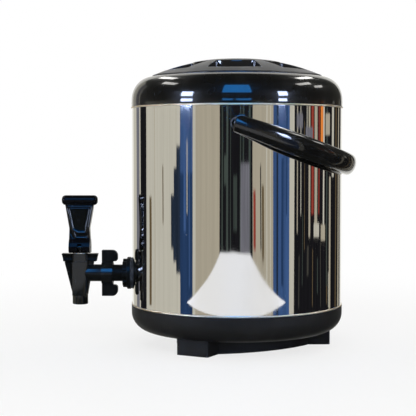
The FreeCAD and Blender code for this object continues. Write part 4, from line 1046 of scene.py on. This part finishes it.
class DISPENSER_OT_stage(bpy.types.Operator):
    """Pale floor, cards, lamps and camera"""
    bl_idname = "dispenser.stage"
    bl_label = "Stage"

    def execute(self, context):
        scene = context.scene
        settings = scene.dispenser.stage
        material = floor_material()
        floor_sheet("table_sheet", TABLE, [], True, material)
        floor_sheet("floor_sheet", [(-9, -9), (9, -9), (9, 9), (-9, 9)], [TABLE], False, material)
        self.cards(settings)
        self.lamps(settings)
        self.camera(scene, settings)
        self.world(scene)
        scene.view_settings.view_transform = "Standard"
        return {"FINISHED"}

    def cards(self, settings):
        """A ring of plain cards, seen only in reflections."""
        shape = Shape()
        tints = []
        layer_gap, pale, pale_unevenness = 0.02, 0.4, 0.22
        for layer, cards in enumerate((CARDS, STRIPS, LIGHT_CARDS)):
            for start, end, low, high, tint in cards:
                radius = settings.room_radius - layer * layer_gap
                steps = max(2, int((end - start) / 3))
                angles = [math.radians(start + (end - start) * step / steps) for step in range(steps + 1)]
                line = [(radius * math.sin(angle), -radius * math.cos(angle)) for angle in angles]
                shape.skin([[(x, y, low), (x, y, high)] for x, y in line], closed=False)
                tints += [tint] * steps
        mesh = bpy.data.meshes.new("card_ring")
        mesh.from_pydata(shape.points, [], shape.faces)
        values = mesh.attributes.new("card_tint", "FLOAT_COLOR", "FACE").data
        for tint, held in zip(tints, values):
            held.color = tint + (pale_unevenness if max(tint) > pale else 1.0,)
        finish = Finish("plain_card")
        tint, uneven = finish.mark("card_tint", "Color"), finish.mark("card_tint", "Alpha")
        streaks = 1 + (finish.noise(3, 3, (1, 1, 0.06)) - 0.5) * uneven
        mottling = 1 + (finish.noise(6, 4, (1, 1, 0.3), 0.65) - 0.5) * uneven
        inputs = {0: tint, "Scale": streaks * mottling}
        tint = finish.node("VectorMath", {"operation": "SCALE"}, inputs)
        mesh.materials.append(finish.glow(tint))
        mirrored_only("card_ring", mesh)
        closing = Finish("closing_card").glow(CEILING + (1.0,))
        for name, height in (("card_roof", TOP), ("card_ground", LOW)):
            disc = bpy.data.meshes.new(name)
            edge = [about_z(5, angle, height) for angle in full_turn(24)]
            disc.from_pydata(edge, [], [range(24)])
            disc.materials.append(closing)
            mirrored_only(name, disc)

    def lamps(self, settings):
        """Soft lamps overhead."""
        places = (
            (-2.55, 0.4, 0.6, 1.25), (-1.5, 1.9, 0.35, 1.8), (2.7, 0.25, 0.6, 1.25), (1.5, 1.7, 0.35, 1.5),
            (4.0, 1.5, 0.9, 1.2), (-0.6, -2.4, 1.0, 0.5), (0.7, -2.4, 1.0, 0.5),
        )
        for index, (x, y, width, depth) in enumerate(places):
            light = bpy.data.lights.new(f"ceiling_lamp_{index + 1}", "AREA")
            light.shape = "RECTANGLE"
            light.size = width
            light.size_y = depth
            light.energy = settings.lamp
            light.color = (1.0, 0.98, 0.94)
            lamp = placed(light.name, light)
            lamp.location = (x, y, 2.6)
            lamp.visible_glossy = y > -1

    def camera(self, scene, settings):
        lens = bpy.data.cameras.new("view_camera")
        lens.lens = settings.lens
        lens.sensor_width = 36.0
        lens.clip_end = 50.0
        camera = placed("view_camera", lens)
        camera.location = (0.0, -settings.distance, settings.height)
        down, aside = 2.857, 1.4317
        camera.rotation_euler = (math.radians(90 - down), 0.0, math.radians(aside))
        scene.camera = camera

    def world(self, scene):
        """White for the camera and for reflections, a softer level for everything else."""
        world = bpy.data.worlds.new("plain_world")
        world.use_nodes = True
        scene.world = world
        finish = Finish("plain_world", world.node_tree)
        seen, mirrored, through = finish.ray("Camera"), finish.ray("Glossy"), finish.ray("Transmission")
        white = seen.math("MAXIMUM", seen.math("MAXIMUM", seen, mirrored), through)
        soft = finish.node("Background", None, {"Color": (1, 1, 1, 1), "Strength": 0.4})
        plain = finish.node("Background", None, {"Color": (1, 1, 1, 1), "Strength": 1.0})
        shader = finish.node("MixShader", None, {0: white, 1: soft, 2: plain})
        finish.node("OutputWorld", None, {"Surface": shader})


class DISPENSER_PT_pieces(bpy.types.Panel):
    """Lists the dispenser's pieces"""
    bl_idname = "DISPENSER_PT_pieces"
    bl_label = "Tea dispenser"
    bl_space_type = "VIEW_3D"
    bl_region_type = "UI"
    bl_category = "Tea dispenser"

    def draw(self, context):
        for piece in PIECES:
            self.layout.operator(piece.bl_idname)
        settings = context.scene.dispenser
        for name in DispenserSettings.__annotations__:
            shown = getattr(settings, name)
            box = self.layout.box()
            for key in type(shown).__annotations__:
                box.prop(shown, key)


PIECES = (
    DISPENSER_OT_barrel, DISPENSER_OT_shoulder, DISPENSER_OT_base, DISPENSER_OT_lid, DISPENSER_OT_bail,
    DISPENSER_OT_inlet, DISPENSER_OT_valve, DISPENSER_OT_lever, DISPENSER_OT_stage,
)
GROUPS = (BarrelSizes, ShoulderSizes, LidSizes, BailSizes, Finishes, StageSettings, DispenserSettings)


def register():
    for kind in GROUPS + PIECES + (DISPENSER_PT_pieces,):
        bpy.utils.register_class(kind)
    bpy.types.Scene.dispenser = bpy.props.PointerProperty(type=DispenserSettings)


def unregister():
    del bpy.types.Scene.dispenser
    for kind in reversed(GROUPS + PIECES + (DISPENSER_PT_pieces,)):
        bpy.utils.unregister_class(kind)


def main():
    register()
    for piece in PIECES:
        name = piece.bl_idname.split(".")[1]
        if getattr(bpy.ops.dispenser, name)() != {"FINISHED"}:
            raise RuntimeError(f"{piece.bl_label} wasn't finished")


if __name__ == "__main__":
    main()
